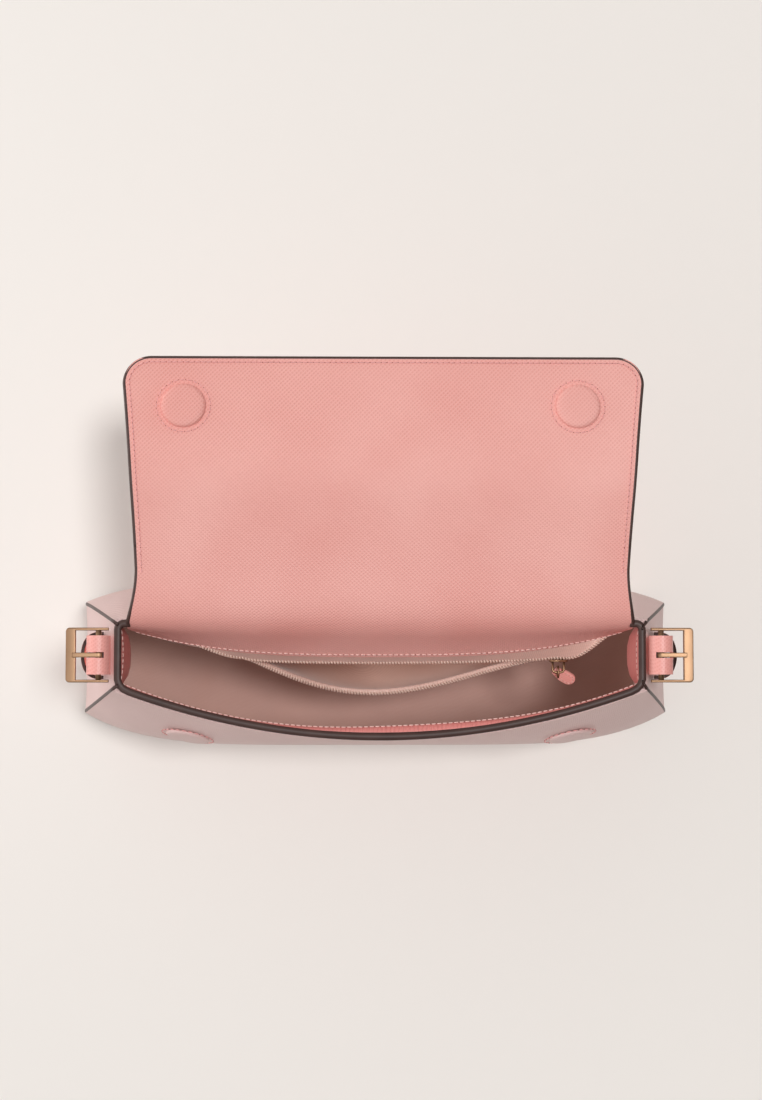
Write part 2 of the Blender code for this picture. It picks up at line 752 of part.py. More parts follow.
def gusset_bulge():
    """Most that the curved gusset stands proud of a straight line under the tab."""
    slope = gusset_slope()
    most = 0.0
    for z in even_rows(HEIGHT - TAB_LENGTH, HEIGHT, WALL_STEPS):
        x = side_point(z)[0] - RIM_HALF_WIDTH
        most = max(most, x * math.cos(slope) - (HEIGHT - z) * math.sin(slope))
    return most


def add_strap_tab(side, name, frame):
    """Leather strip folded round the buckle bar, with a slot for the prong."""
    centre = (tab_centre_out(), -TAB_LOOP_DEPTH)
    inner_face = centre[0] - LOOP_RADIUS
    outer_face = inner_face + 2.0 * TAB_LEATHER
    neck = (outer_face - centre[0], centre[1] + TAB_NECK_DEPTH - 2.0 * TAB_LOOP_DEPTH)
    distance = math.hypot(neck[0], TAB_NECK_DEPTH - TAB_LOOP_DEPTH)
    tangent = math.degrees(math.atan2(TAB_LOOP_DEPTH - TAB_NECK_DEPTH, neck[0])
                           + math.acos(LOOP_RADIUS / distance))
    outline = [(inner_face, -TAB_LENGTH)]
    outline += arc(centre, LOOP_RADIUS, 180.0, tangent, 2 * ARC_STEPS)
    outline += [(outer_face, -TAB_NECK_DEPTH), (outer_face, -TAB_LENGTH)]
    bar_hole = arc(centre, LOOP_RADIUS - TAB_LEATHER, 0.0, 345.0, 2 * ARC_STEPS + 3)
    strip = plate("strap_tab_" + name, [outline, bar_hole], TAB_WIDTH, leather("strap_tab_" + name), frame)
    strip.rotation_euler = (math.radians(90.0), 0.0, 0.0)
    strip = to_mesh_object(strip)

    slot = bpy.data.objects.new("prong_slot_" + name, bpy.data.meshes.new("prong_slot_" + name))
    CUTTERS.objects.link(slot)
    box = bmesh.new()
    bmesh.ops.create_cube(box, size=1.0)
    slot_width = PRONG_WIDTH + 2.0 * SLOT_CLEARANCE
    slot_inner = inner_face + TAB_LEATHER + GAP
    slot_outer = centre[0] + 2.0 * LOOP_RADIUS
    slot_low = -TAB_NECK_DEPTH + GAP
    slot_high = 2.0 * LOOP_RADIUS
    bmesh.ops.scale(box, verts=box.verts, vec=(slot_outer - slot_inner, slot_width, slot_high - slot_low))
    middle = Vector(((slot_outer + slot_inner) / 2.0, 0.0, (slot_high + slot_low) / 2.0))
    bmesh.ops.translate(box, verts=box.verts, vec=middle)
    box.to_mesh(slot.data)
    box.free()
    bpy.context.view_layer.update()
    slot.matrix_world = frame.matrix_world
    slot.hide_render = True
    slot.display_type = "WIRE"
    cut = strip.modifiers.new("prong_slot", "BOOLEAN")
    cut.operation = "DIFFERENCE"
    cut.object = slot


def add_keeper(name, frame):
    """Arched leather loop below the buckle that holds the strap end down."""
    foot = gusset_bulge() + GAP
    span = KEEPER_HALF_SPAN
    rise = KEEPER_STANDOFF
    outline = [(foot + rise * math.sin(math.pi * k / 12.0) ** 0.6, -span * math.cos(math.pi * k / 12.0))
               for k in range(13)]
    inner_span = span - KEEPER_LEATHER
    inner_rise = rise - KEEPER_LEATHER
    inner = [(foot + inner_rise * math.sin(math.pi * k / 12.0) ** 0.6, -inner_span * math.cos(math.pi * k / 12.0))
             for k in range(12, -1, -1)]
    band = plate("strap_keeper_" + name, [outline + inner], KEEPER_HEIGHT, leather("strap_keeper_" + name), frame)
    band.location = (0.0, 0.0, -KEEPER_DEPTH - KEEPER_HEIGHT / 2.0)


def add_buckle(side, name, frame):
    """Gold frame on a round bar, with a prong that wraps the bar and rests on the end bar."""
    bpy.context.view_layer.update()
    axis = frame.matrix_world @ Vector((tab_centre_out(), 0.0, -TAB_LOOP_DEPTH))
    pivot = add_empty("buckle_axis_" + name, axis)
    if side < 0.0:
        pivot.rotation_euler = (0.0, 0.0, math.pi)

    half = BUCKLE_WIDTH / 2.0
    inner = half - BUCKLE_ARM
    heel = -BAR_RADIUS - BUCKLE_ARM
    bend = BUCKLE_CORNER
    window = BUCKLE_REACH - BUCKLE_END_BAR
    outline = [(heel, -half)]
    outline += arc((BUCKLE_REACH - bend, bend - half), bend, -90.0, 0.0, 4)
    outline += arc((BUCKLE_REACH - bend, half - bend), bend, 0.0, 90.0, 4)
    outline += [(heel, half), (heel, inner), (window, inner), (window, -inner), (heel, -inner)]
    plate("buckle_frame_" + name, [outline], BUCKLE_HEIGHT, gold("buckle_frame_" + name), pivot)

    bar_half = inner - GAP
    bar_line = [(0.0, -bar_half, 0.0), (0.0, 0.0, 0.0), (0.0, bar_half, 0.0)]
    tube("buckle_bar_" + name, bar_line, BAR_RADIUS, gold("buckle_bar_" + name), pivot)

    prong = add_empty("prong_axis_" + name, (0.0, 0.0, 0.0), pivot)
    hole = BAR_RADIUS + GAP
    ring = hole + PRONG_THICKNESS
    top = BUCKLE_HEIGHT / 2.0 + GAP + PRONG_THICKNESS
    tip = window + BUCKLE_END_BAR / 3.0
    start = math.degrees(math.asin((top - PRONG_THICKNESS) / ring))
    body = arc((0.0, 0.0), ring, 90.0, 360.0 + start, 14)
    body += [(tip, top - PRONG_THICKNESS), (tip, top)]
    eye = arc((0.0, 0.0), hole, 0.0, 330.0, 11)
    tongue = plate("buckle_prong_" + name, [body, eye], PRONG_WIDTH, gold("buckle_prong_" + name), prong)
    tongue.rotation_euler = (math.radians(90.0), 0.0, 0.0)


def add_strap_ends():
    for side, name in SIDES:
        frame = hang_frame("strap_end_" + name, side)
        add_strap_tab(side, name, frame)
        add_keeper(name, frame)
        add_buckle(side, name, frame)


SIDES = ((-1.0, "left"), (1.0, "right"))
remove_everything()
PURSE = new_collection("crossbody_purse")
CUTTERS = new_collection("cutters")
add_outer_panels()
add_base()
add_front_inside()
add_end_insides()
add_back_facing()
add_zip()
add_back_lining()
add_pocket_bag()
add_slider()
add_front_magnets()
add_flap()
add_strap_ends()
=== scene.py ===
import math
from math import cos, pi, radians, sin, sqrt

import bmesh
import bpy
from mathutils import Matrix, Vector


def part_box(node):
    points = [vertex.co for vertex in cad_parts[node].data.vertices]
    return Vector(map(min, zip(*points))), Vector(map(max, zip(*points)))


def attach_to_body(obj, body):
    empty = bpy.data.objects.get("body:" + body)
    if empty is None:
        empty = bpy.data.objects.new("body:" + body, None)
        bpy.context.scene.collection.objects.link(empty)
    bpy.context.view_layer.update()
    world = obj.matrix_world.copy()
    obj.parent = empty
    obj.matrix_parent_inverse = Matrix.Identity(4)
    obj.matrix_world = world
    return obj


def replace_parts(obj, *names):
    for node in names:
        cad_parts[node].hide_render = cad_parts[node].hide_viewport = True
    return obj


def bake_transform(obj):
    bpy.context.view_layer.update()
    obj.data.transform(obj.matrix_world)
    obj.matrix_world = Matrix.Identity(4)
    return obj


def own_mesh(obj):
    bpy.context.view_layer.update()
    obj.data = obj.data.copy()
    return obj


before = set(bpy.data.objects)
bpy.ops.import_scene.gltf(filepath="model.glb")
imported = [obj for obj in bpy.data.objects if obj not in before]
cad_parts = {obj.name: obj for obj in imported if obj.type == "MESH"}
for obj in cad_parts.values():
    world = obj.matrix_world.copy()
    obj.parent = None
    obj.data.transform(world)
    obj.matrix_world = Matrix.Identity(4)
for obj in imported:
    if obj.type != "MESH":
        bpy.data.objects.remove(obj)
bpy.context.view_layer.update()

# Shell sizes, in metres: the overall ones come from the frame, the rest repeat the part's wall curves.
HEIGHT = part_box("front_panel")[1].z
BASE_HALF_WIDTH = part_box("front_panel")[1].x
RIM_HALF_WIDTH = 0.1095
RIM_HALF_DEPTH = 0.0145
BASE_HALF_DEPTH = 0.0255
FLARE_DEPTH = 0.107
WIDTH_CURVE = 0.3
DEPTH_CURVE = 0.55
FRONT_BOW_RIM = 0.0205
FRONT_BOW_BASE = 0.0135
BACK_BOW_BASE = 0.0100
BOW_POWER_RIM = 2.0
BOW_POWER_BODY = 6.0
BOW_SQUARE_DEPTH = 0.048
CORNER_RADIUS = 0.022
BASE_FLAT_HALF = BASE_HALF_WIDTH - CORNER_RADIUS
SIDES = ((-1.0, "left"), (1.0, "right"))

# Layers and gaps. CLEAR keeps two surfaces from lying in one place.
LEATHER = 0.0015
FACING = 0.0012
LINING = 0.0006
LAYER_GAP = 0.0002
FACING_GAP = 0.0005
GLUE = 0.0003
CLEAR = 0.0001
INNER = LEATHER + GLUE
FACING_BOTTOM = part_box("front_facing")[0].z
LINING_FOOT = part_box("lining_base")[1].z

# Flap: rest angles and lengths from the hinge.
HINGE = Vector((0.0, 0.0145, 0.13368))
FLAP_HALF = 0.00135
FLAP_RISE = radians(9.0)
FLAP_FOLD = radians(-17.0)
FLAP_TOP_LENGTH = 0.058
FLAP_LENGTH = 0.109
FLAP_HINGE_HALF_WIDTH = 0.1003
FLAP_END_HALF_WIDTH = 0.1080
FLAP_FLARE = 1.6
FLAP_DRIFT = 0.0013
FLAP_CORNER_RADIUS = 0.011
FLAP_SPLIT = 0.030
FOLD_ZONE = 0.012
COVER_RADIUS = 0.00925
MAGNET_X = 0.081

# Zip.
ZIP_START = -0.061
ZIP_END = 0.084
MOUTH_START = -0.057
MOUTH_END = 0.0725
ZIP_Y = -0.0009
COIL_BACK_Z = 0.102
COIL_FRONT_Z = 0.0992
COIL_BEHIND = 0.0003
LIP_SAG_FORWARD = 0.0155
LIP_SAG_DOWN = 0.0220
TAPE = 0.0006
TAPE_WIDTH = 0.0065
BACK_LEAN = 0.0115

# Thread.
STITCH_PITCH = 0.00232
STITCH_LENGTH = 0.00175
STITCH_RADIUS = 0.00027

# Colours, linear.
SALMON = (0.99, 0.49, 0.44)
SALMON_PALE = (0.99, 0.56, 0.505)
SALMON_DEEP = (0.74, 0.265, 0.225)
ROSE = (0.80, 0.30, 0.275)
ROSE_DEEP = (0.62, 0.19, 0.17)
SHELL_PINK = (0.735, 0.525, 0.50)
SHELL_DEEP = (0.59, 0.388, 0.367)
EDGE_BROWN = (0.036, 0.016, 0.013)
EDGE_WORN = (0.075, 0.036, 0.029)
# Lining and pocket are one cloth: the pocket's lighter colours are painted light on the open mouth, the
# lining's darker ones painted shade deep in the bag.
CLOTH_ROSE = (0.50, 0.265, 0.205)
CLOTH_DEEP = (0.31, 0.14, 0.105)
POCKET_LIT_ROSE = (0.95, 0.68, 0.58)
POCKET_SHADE = (0.50, 0.27, 0.19)
TAPE_PINK = (0.92, 0.65, 0.56)
THREAD_PALE = (0.92, 0.62, 0.56)
THREAD_ROSE = (0.88, 0.42, 0.40)
# Painted shade: the dark inside a needle hole.
NEEDLE_HOLE_SHADE = (0.40, 0.11, 0.10)
NYLON_BEIGE = (0.86, 0.63, 0.53)
# Gold, tinted towards pink: partly its own colour, partly a painted reflection of the pink leather.
GOLD_WITH_PINK_REFLECTION = (0.37, 0.225, 0.135)
STEEL = (0.45, 0.45, 0.46)
BOARD = (0.22, 0.19, 0.17)
CREAM = (0.845, 0.80, 0.76)
SKY = (1.0, 0.99, 0.975)


# Node helpers.
def new_material(name, colour, roughness, metallic=0.0):
    material = bpy.data.materials.new(name)
    material.use_nodes = True
    shader = material.node_tree.nodes["Principled BSDF"]
    shader.inputs["Base Color"].default_value = (*colour, 1.0)
    shader.inputs["Roughness"].default_value = roughness
    shader.inputs["Metallic"].default_value = metallic
    return material


def add_node(material, kind, inputs=None, **settings):
    node = material.node_tree.nodes.new(kind)
    for key, value in settings.items():
        setattr(node, key, value)
    for key, value in (inputs or {}).items():
        node.inputs[key].default_value = value
    return node


def join(material, source, target):
    material.node_tree.links.new(source, target)


def shader_of(material):
    return material.node_tree.nodes["Principled BSDF"]


def plane_wave(material, vector, direction, pitch):
    """Sine ridges across a direction, from object coordinates."""
    scaled = [part * 2.0 * pi / pitch for part in direction]
    dot = add_node(material, "ShaderNodeVectorMath", {1: scaled}, operation="DOT_PRODUCT")
    join(material, vector, dot.inputs[0])
    wave = add_node(material, "ShaderNodeMath", operation="SINE")
    join(material, dot.outputs["Value"], wave.inputs[0])
    return wave.outputs[0]


def math_node(material, operation, first, second):
    """Arithmetic on two values, each a number or another node's output."""
    node = add_node(material, "ShaderNodeMath", operation=operation)
    for socket, value in zip(node.inputs, (first, second)):
        if isinstance(value, float):
            socket.default_value = value
        else:
            join(material, value, socket)
    return node.outputs[0]


def scaled(material, value, factor, offset):
    """A value times a factor, plus an offset."""
    output = math_node(material, "MULTIPLY_ADD", value, factor)
    output.node.inputs[2].default_value = offset
    return output


def noise(material, vector, scale, detail=3.0):
    node = add_node(material, "ShaderNodeTexNoise", {"Scale": scale, "Detail": detail})
    join(material, vector, node.inputs["Vector"])
    return node.outputs["Fac"]


def two_tone(material, factor, light, dark):
    """Base colour that runs from light to dark with a factor."""
    mix = add_node(material, "ShaderNodeMix", data_type="RGBA")
    colours = [socket for socket in mix.inputs if socket.type == "RGBA"]
    colours[0].default_value = (*light, 1.0)
    colours[1].default_value = (*dark, 1.0)
    join(material, factor, mix.inputs["Factor"])
    output = [socket for socket in mix.outputs if socket.type == "RGBA"][0]
    join(material, output, shader_of(material).inputs["Base Color"])


def bump(material, height, strength, distance):
    node = add_node(material, "ShaderNodeBump", {"Strength": strength, "Distance": distance})
    join(material, height, node.inputs["Height"])
    join(material, node.outputs["Normal"], shader_of(material).inputs["Normal"])


def object_coordinates(material):
    return add_node(material, "ShaderNodeTexCoord").outputs["Object"]


# Materials.
GRAIN_PITCH = 0.0012
GRAIN_STRONG = (0.66, -0.75, -0.45)
GRAIN_FAINT = (0.70, 0.68, 0.55)
FAINT_SHARE = 0.7
GRAIN_DEPTH = 0.00018
GRAIN_TONE = -0.17
GRAIN_CLOUD = 0.72
# How much paler the painted light makes leather at the lower of its two heights.
PAINTED_LIGHT = 0.6
TWILL_PITCH = 0.00045
TAPE_PITCH = 0.0008
WARP = (0.95, 0.2, 0.2)
WEFT = (0.1, 0.7, 0.7)
WEAVE_DEPTH = 0.00008
WEAVE_TONE = 0.06
WEAVE_BASE = 0.08
WEAVE_CLOUD = 0.5
# Painted shade of the pocket: how much darker it turns at the lower of its two heights, none at the upper.
PAINTED_SHADE = 0.15
POCKET_PAINTED_SHADE_HEIGHTS = (0.070, 0.096)
TWIST = (0.6, 0.6, 0.5)
TWIST_PITCH = 0.0005


def depth_fade(material, place, low, high, at_low):
    """Value that runs from at_low at height low to nothing at height high: the height mask of the painted
    light and the painted shade.
    """
    parts = add_node(material, "ShaderNodeSeparateXYZ")
    join(material, place, parts.inputs[0])
    ranges = {"From Min": low, "From Max": high, "To Min": at_low, "To Max": 0.0}
    fade = add_node(material, "ShaderNodeMapRange", ranges)
    join(material, parts.outputs["Z"], fade.inputs["Value"])
    return fade.outputs["Result"]


def leather(name, light, dark, base_tone=0.02, painted_light_below=None, roughness=0.46, relief=0.55):
    """Crosshatch-grain leather: two crossed sets of fine ridges with a slow tone change, and, where asked,
    painted light that makes it paler towards the lower of two heights.
    """
    material = new_material(name, light, roughness)
    place = object_coordinates(material)
    strong = plane_wave(material, place, GRAIN_STRONG, GRAIN_PITCH)
    faint = plane_wave(material, place, GRAIN_FAINT, GRAIN_PITCH)
    hatch = math_node(material, "MAXIMUM", strong, math_node(material, "MULTIPLY", faint, FAINT_SHARE))
    height = math_node(material, "ADD", hatch, noise(material, place, scale=1500.0))
    bump(material, height, relief, GRAIN_DEPTH)
    cloud = noise(material, place, scale=17.0, detail=2.0)
    tone = scaled(material, hatch, GRAIN_TONE, base_tone)
    both = math_node(material, "ADD", tone, math_node(material, "MULTIPLY", cloud, GRAIN_CLOUD))
    # Painted light: paler towards the lower height, where the facing would fall into shade.
    if painted_light_below:
        both = math_node(material, "SUBTRACT", both, depth_fade(material, place, *painted_light_below, PAINTED_LIGHT))
    two_tone(material, both, light, dark)
    return material


def satin(name, light, dark, weave=TWILL_PITCH, painted_shade_below=None):
    """Lining cloth: a fine twill with a soft sheen and slow shading, and, where asked, painted shade that
    makes it darker towards the lower of two heights.
    """
    material = new_material(name, light, roughness=0.42)
    place = object_coordinates(material)
    warp = plane_wave(material, place, WARP, weave)
    weft = plane_wave(material, place, WEFT, weave)
    threads = math_node(material, "ADD", warp, weft)
    bump(material, threads, strength=0.22, distance=WEAVE_DEPTH)
    cloud = noise(material, place, scale=38.0, detail=4.0)
    tone = scaled(material, threads, WEAVE_TONE, WEAVE_BASE)
    both = math_node(material, "ADD", tone, math_node(material, "MULTIPLY", cloud, WEAVE_CLOUD))
    # Painted shade: darker towards the lower height, down in the pocket where shade falls.
    if painted_shade_below:
        both = math_node(material, "ADD", both, depth_fade(material, place, *painted_shade_below, PAINTED_SHADE))
    two_tone(material, both, light, dark)
    shader_of(material).inputs["Sheen Weight"].default_value = 0.35
    shader_of(material).inputs["Sheen Roughness"].default_value = 0.4
    return material


def darker(colour, share):
    return tuple(part * share for part in colour)


def plain(name, light, dark, roughness, tone_scale, relief=None, metallic=0.0):
    """Plain finish: noise relief (scale, detail, strength, distance) and a slow change of tone."""
    material = new_material(name, light, roughness, metallic)
    place = object_coordinates(material)
    if relief:
        scale, detail, strength, distance = relief
        bump(material, noise(material, place, scale, detail), strength, distance)
    two_tone(material, noise(material, place, tone_scale), light, dark)
    return material


def painted_edge(name):
    material = plain(name, EDGE_BROWN, EDGE_WORN, 0.46, 120.0, relief=(420.0, 3.0, 0.25, 0.0002))
    shader_of(material).inputs["Specular IOR Level"].default_value = 0.38
    return material


def metal(name, colour, roughness):
    relief = (900.0, 2.0, 0.06, 0.0001)
    return plain(name, colour, darker(colour, 0.82), roughness, 160.0, relief, metallic=1.0)


def nylon(name, colour):
    return plain(name, colour, darker(colour, 0.75), 0.38, 300.0, relief=(1600.0, 3.0, 0.15, 0.0001))


def card(name, colour):
    return plain(name, colour, darker(colour, 0.7), 0.8, 200.0, relief=(900.0, 3.0, 0.3, 0.0002))


def table_top(name, colour):
    return plain(name, colour, darker(colour, 0.992), 0.9, 90.0)


def thread(name, colour):
    """Sewing thread with a twist in its relief."""
    material = plain(name, colour, darker(colour, 0.80), 0.55, 700.0)
    twist = plane_wave(material, object_coordinates(material), TWIST, TWIST_PITCH)
    bump(material, twist, strength=0.4, distance=0.0001)
    return material


LOOKS = {
    "flap_lining": leather("salmon_grain", SALMON_PALE, SALMON_DEEP, 0.32),
    # The facing over the zip has painted light, paler towards its foot.
    "root_lining_painted_light": leather("salmon_root_grain_painted_light", SALMON_PALE, SALMON_DEEP, 0.32, (FACING_BOTTOM, HEIGHT)),
    "tab": leather("tab_grain", SALMON, SALMON_DEEP, 0.20, roughness=0.36, relief=0.22),
    "facing": leather("rose_grain", ROSE, ROSE_DEEP),
    "shell": leather("shell_grain", SHELL_PINK, SHELL_DEEP),
    "edge": painted_edge("edge_paint"),
    "lining": satin("lining_twill", CLOTH_ROSE, CLOTH_DEEP),
    "tape": satin("zip_tape_weave", TAPE_PINK, CLOTH_DEEP, TAPE_PITCH),
    "coil": nylon("zip_nylon", NYLON_BEIGE),
    # The pocket cloth: a lighter copy of the lining cloth as painted light, with painted shade deeper
    # down.
    "pocket": satin("pocket_twill_painted_light_and_shade", POCKET_LIT_ROSE, POCKET_SHADE, painted_shade_below=POCKET_PAINTED_SHADE_HEIGHTS),
    "thread": thread("pale_thread", THREAD_PALE),
    "rose_thread": thread("rose_thread", THREAD_ROSE),
    # Needle holes: painted shade.
    "hole": card("needle_hole_shade", NEEDLE_HOLE_SHADE),
    # Gold hardware with a painted reflection of the pink leather in its colour.
    "gold": metal("pale_gold_pink_reflection", GOLD_WITH_PINK_REFLECTION, 0.46),
    "steel": metal("magnet_steel", STEEL, 0.35),
    "board": card("base_card", BOARD),
    "floor": table_top("cream_table", CREAM),
}


# Wall curves.
def eased(t, curve):
    return t * (1.0 + curve * (1.0 - t))


def flare(z):
    """How far down the flared part of the wall a height is: 0 at the rim, 1 at its foot."""
    return min((HEIGHT - z) / FLARE_DEPTH, 1.0)


def full_half_width(z):
    return RIM_HALF_WIDTH + (BASE_HALF_WIDTH - RIM_HALF_WIDTH) * eased(flare(z), WIDTH_CURVE)


def half_depth(z):
    return RIM_HALF_DEPTH + (BASE_HALF_DEPTH - RIM_HALF_DEPTH) * eased(flare(z), DEPTH_CURVE)


def front_wall(x, z):
    """Y of the front's outside: a round bow at the rim that turns square lower down."""
    bow = FRONT_BOW_RIM + (FRONT_BOW_BASE - FRONT_BOW_RIM) * flare(z)
    squareness = max(0.0, min(1.0, (HEIGHT - z) / BOW_SQUARE_DEPTH))
    power = BOW_POWER_RIM + (BOW_POWER_BODY - BOW_POWER_RIM) * squareness
    return -half_depth(z) - bow * (1.0 - min(1.0, abs(x) / full_half_width(z)) ** power)


def back_wall(x, z):
    """Y of the back's outside: straight at the rim, bowed below it."""
    bow = BACK_BOW_BASE * (1.0 - (1.0 - max(0.0, flare(z))) ** 3)
    return half_depth(z) + bow * (1.0 - min(1.0, abs(x) / full_half_width(z)) ** BOW_POWER_BODY)


def slope(function, value, step=0.00005):
    return (function(value + step) - function(value - step)) / (2.0 * step)


def inset(wall, x, z, depth):
    """Y of the surface a depth inside a wall."""
    across = slope(lambda value: wall(value, z), x)
    down = slope(lambda value: wall(x, value), z)
    inward = 1.0 if wall is front_wall else -1.0
    return wall(x, z) + inward * depth * sqrt(1.0 + across ** 2 + down ** 2)


def side_point(z, depth=0.0):
    """X and Z of the gusset line at a height, set in by a depth."""
    if z < CORNER_RADIUS:
        angle = math.acos((CORNER_RADIUS - z) / CORNER_RADIUS)
        radius = CORNER_RADIUS - depth
        return BASE_FLAT_HALF + radius * sin(angle), CORNER_RADIUS - radius * cos(angle)
    lean = slope(full_half_width, z)
    length = sqrt(1.0 + lean ** 2)
    return full_half_width(z) - depth / length, z + depth * lean / length


def inner_half_width(z, depth):
    """Half the width between the gussets at a height, with each gusset a depth thick."""
    if z < CORNER_RADIUS:
        radius = CORNER_RADIUS - depth
        rise = min(CORNER_RADIUS - z, radius)
        return BASE_FLAT_HALF + sqrt(radius ** 2 - rise ** 2)
    return full_half_width(z) - depth * sqrt(1.0 + WIDTH_CURVE ** 2)


def spread(low, high, steps):
    return [low + (high - low) * k / steps for k in range(steps + 1)]


def smooth(t):
    t = max(0.0, min(1.0, t))
    return t * t * (3.0 - 2.0 * t)


# Mesh helpers.
def add_object(name, data):
    piece = bpy.data.objects.new(name, data)
    bpy.context.scene.collection.objects.link(piece)
    return piece


def add_piece(name, mesh, looks):
    """Piece of a mesh in its looks, in the finish slot of the first one."""
    piece = add_object(name, mesh)
    mesh.materials.clear()
    for look in looks:
        mesh.materials.append(LOOKS[look])
    return piece


def link_mesh(name, vertices, faces, looks):
    mesh = bpy.data.meshes.new(name)
    mesh.from_pydata(vertices, [], faces)
    mesh.update()
    mesh.shade_smooth()
    return add_piece(name, mesh, looks)


def final_mesh(piece):
    """Copy of a piece's mesh as its modifiers or its curve make it."""
    bpy.context.view_layer.update()
    return bpy.data.meshes.new_from_object(piece.evaluated_get(bpy.context.evaluated_depsgraph_get()))


def crisp(mesh, degrees):
    mesh.shade_smooth()
    mesh.set_sharp_from_angle(angle=radians(degrees))


def settle(piece):
    """Make the modified mesh the piece's own mesh, with sharp edges kept crisp."""
    mesh = final_mesh(piece)
    piece.modifiers.clear()
    piece.data = mesh
    crisp(mesh, 50.0)
    return piece


def grid_faces(wide, tall, left_out=()):
    """Faces of a grid of points, row by row, without the (column, row) cells left out."""
    faces = []
    for row in range(tall - 1):
        for column in range(wide - 1):
            if (column, row) not in left_out:
                corner = row * wide + column
                faces.append((corner, corner + 1, corner + wide + 1, corner + wide))
    return faces


def thicken(piece, thickness, offset, even):
    """Give a sheet its thickness, the cut edge in its last look."""
    solid = piece.modifiers.new("thickness", "SOLIDIFY")
    solid.thickness = thickness
    solid.offset = offset
    solid.use_even_offset = even
    solid.material_offset_rim = len(piece.data.materials) - 1


def skin(name, us, vs, place, thickness, looks, offset=-1.0, round_edge=0.0, even=True):
    """Sheet of one thickness on a grid of points, its cut edge in the second look."""
    vertices = [place(u, v) for v in vs for u in us]
    piece = link_mesh(name, vertices, grid_faces(len(us), len(vs)), looks)
    thicken(piece, thickness, offset, even)
    if round_edge:
        soft = piece.modifiers.new("round_edge", "BEVEL")
        soft.width = round_edge
        soft.segments = 2
        soft.limit_method = "ANGLE"
        soft.angle_limit = radians(60.0)
    return settle(piece)


def ring_faces(rings, sides):
    """Faces of a closed tube of rings, with both ends capped."""
    faces = []
    for ring in range(rings - 1):
        for k in range(sides):
            near = ring * sides
            after = (k + 1) % sides
            faces.append((near + k, near + after, near + sides + after, near + sides + k))
    faces.append(tuple(reversed(range(sides))))
    faces.append(tuple((rings - 1) * sides + k for k in range(sides)))
    return faces


def sweep(name, points, section, look, up=Vector((0.0, 0.0, 1.0))):
    """Solid of one cross-section, given as (across, up) pairs, along a line of points."""
    vertices = []
    for index, point in enumerate(points):
        ahead = points[min(index + 1, len(points) - 1)]
        behind = points[max(index - 1, 0)]
        along = (ahead - behind).normalized()
        across = along.cross(up)
        across = across.normalized() if across.length > 1e-6 else Vector((1.0, 0.0, 0.0))
        rise = across.cross(along)
        vertices += [point + across * a + rise * b for a, b in section]
    return link_mesh(name, vertices, ring_faces(len(points), len(section)), [look])


def circle(radius_a, radius_b=None, sides=10):
    radius_b = radius_b or radius_a
    turns = [2.0 * pi * k / sides for k in range(sides)]
    return [(radius_a * cos(turn), radius_b * sin(turn)) for turn in turns]


def walk(points, pitch):
    """Middle points and directions of stitches at an even pitch along a line of points."""
    lengths = [0.0]
    for first, second in zip(points, points[1:]):
        lengths.append(lengths[-1] + (second - first).length)
    count = max(1, int(lengths[-1] / pitch))
    spots = []
    segment = 0
    for k in range(count):
        target = lengths[-1] * (k + 0.5) / count
        while lengths[segment + 1] < target:
            segment += 1
        span = lengths[segment + 1] - lengths[segment]
        share = (target - lengths[segment]) / span
        along = (points[segment + 1] - points[segment]).normalized()
        spots.append((points[segment].lerp(points[segment + 1], share), along))
    return spots


STITCH_SIDES = 6
HOLE_SIZE = 1.05
STITCH_RINGS = ((-0.5, 0.35), (-0.34, 0.95), (0.0, 1.0), (0.34, 0.95), (0.5, 0.35))


def stitches(name, lines, pitch=STITCH_PITCH, length=STITCH_LENGTH, radius=STITCH_RADIUS, look="thread"):
    """Row of thread stitches along each line of points, with a dark needle hole between each two as
    painted shade.
    """
    vertices = []
    faces = []
    holes = []
    for line in lines:
        for spot, along in walk(line, pitch):
            across = along.orthogonal().normalized()
            rise = across.cross(along)
            first = len(vertices)
            for place, size in STITCH_RINGS:
                for a, b in circle(radius * size, sides=STITCH_SIDES):
                    vertices.append(spot + along * (place * length) + across * a + rise * b)
            for face in ring_faces(len(STITCH_RINGS), STITCH_SIDES):
                faces.append(tuple(first + k for k in face))
            first = len(vertices)
            middle = spot + along * (pitch / 2.0)
            for direction in (along, across, -along, -across, rise, -rise):
                vertices.append(middle + direction * (radius * HOLE_SIZE))
            for k in range(4):
                holes.append((first + k, first + (k + 1) % 4, first + 4))
                holes.append((first + (k + 1) % 4, first + k, first + 5))
    # The needle holes are dark solids: painted shade in the holes.
    piece = link_mesh(name, vertices, faces + holes, [look, "hole"])
    piece.data.polygons.foreach_set("material_index", [0] * len(faces) + [1] * len(holes))
    return piece


def attach(piece, body, *nodes):
    """Let a piece ride a body, in place of the nodes named."""
    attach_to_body(piece, body)
    if nodes:
        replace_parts(piece, *nodes)


def on_bag(piece, *nodes):
    attach(piece, "bag", *nodes)


# Shell.
WALL_ROWS = 26
WALL_COLUMNS = 44
CORNER_ROWS = 9
WALL_TOP = HEIGHT - 0.0013
BACK_WALL_TOP = HEIGHT - 0.0016
GUSSET_DIP = 0.0012
GUSSET_DIP_FROM = 0.05
BASE_SEAM_Z = 0.0005


def wall_heights(top=WALL_TOP):
    """Heights from the floor to the top of a wall, close together round the lower corner."""
    turns = [pi / 2.0 * k / CORNER_ROWS for k in range(CORNER_ROWS)]
    corner = [CORNER_RADIUS * (1.0 - cos(turn)) for turn in turns]
    return corner + spread(CORNER_RADIUS, top, WALL_ROWS)


def columns():
    """Shares of a half width from -1 to 1, closer together at the ends."""
    return [sin(pi / 2.0 * share) for share in spread(-1.0, 1.0, WALL_COLUMNS)]


def panel_point(wall):
    def place(share, z):
        x = share * side_point(z)[0]
        return Vector((x, wall(x, z), z))
    return place


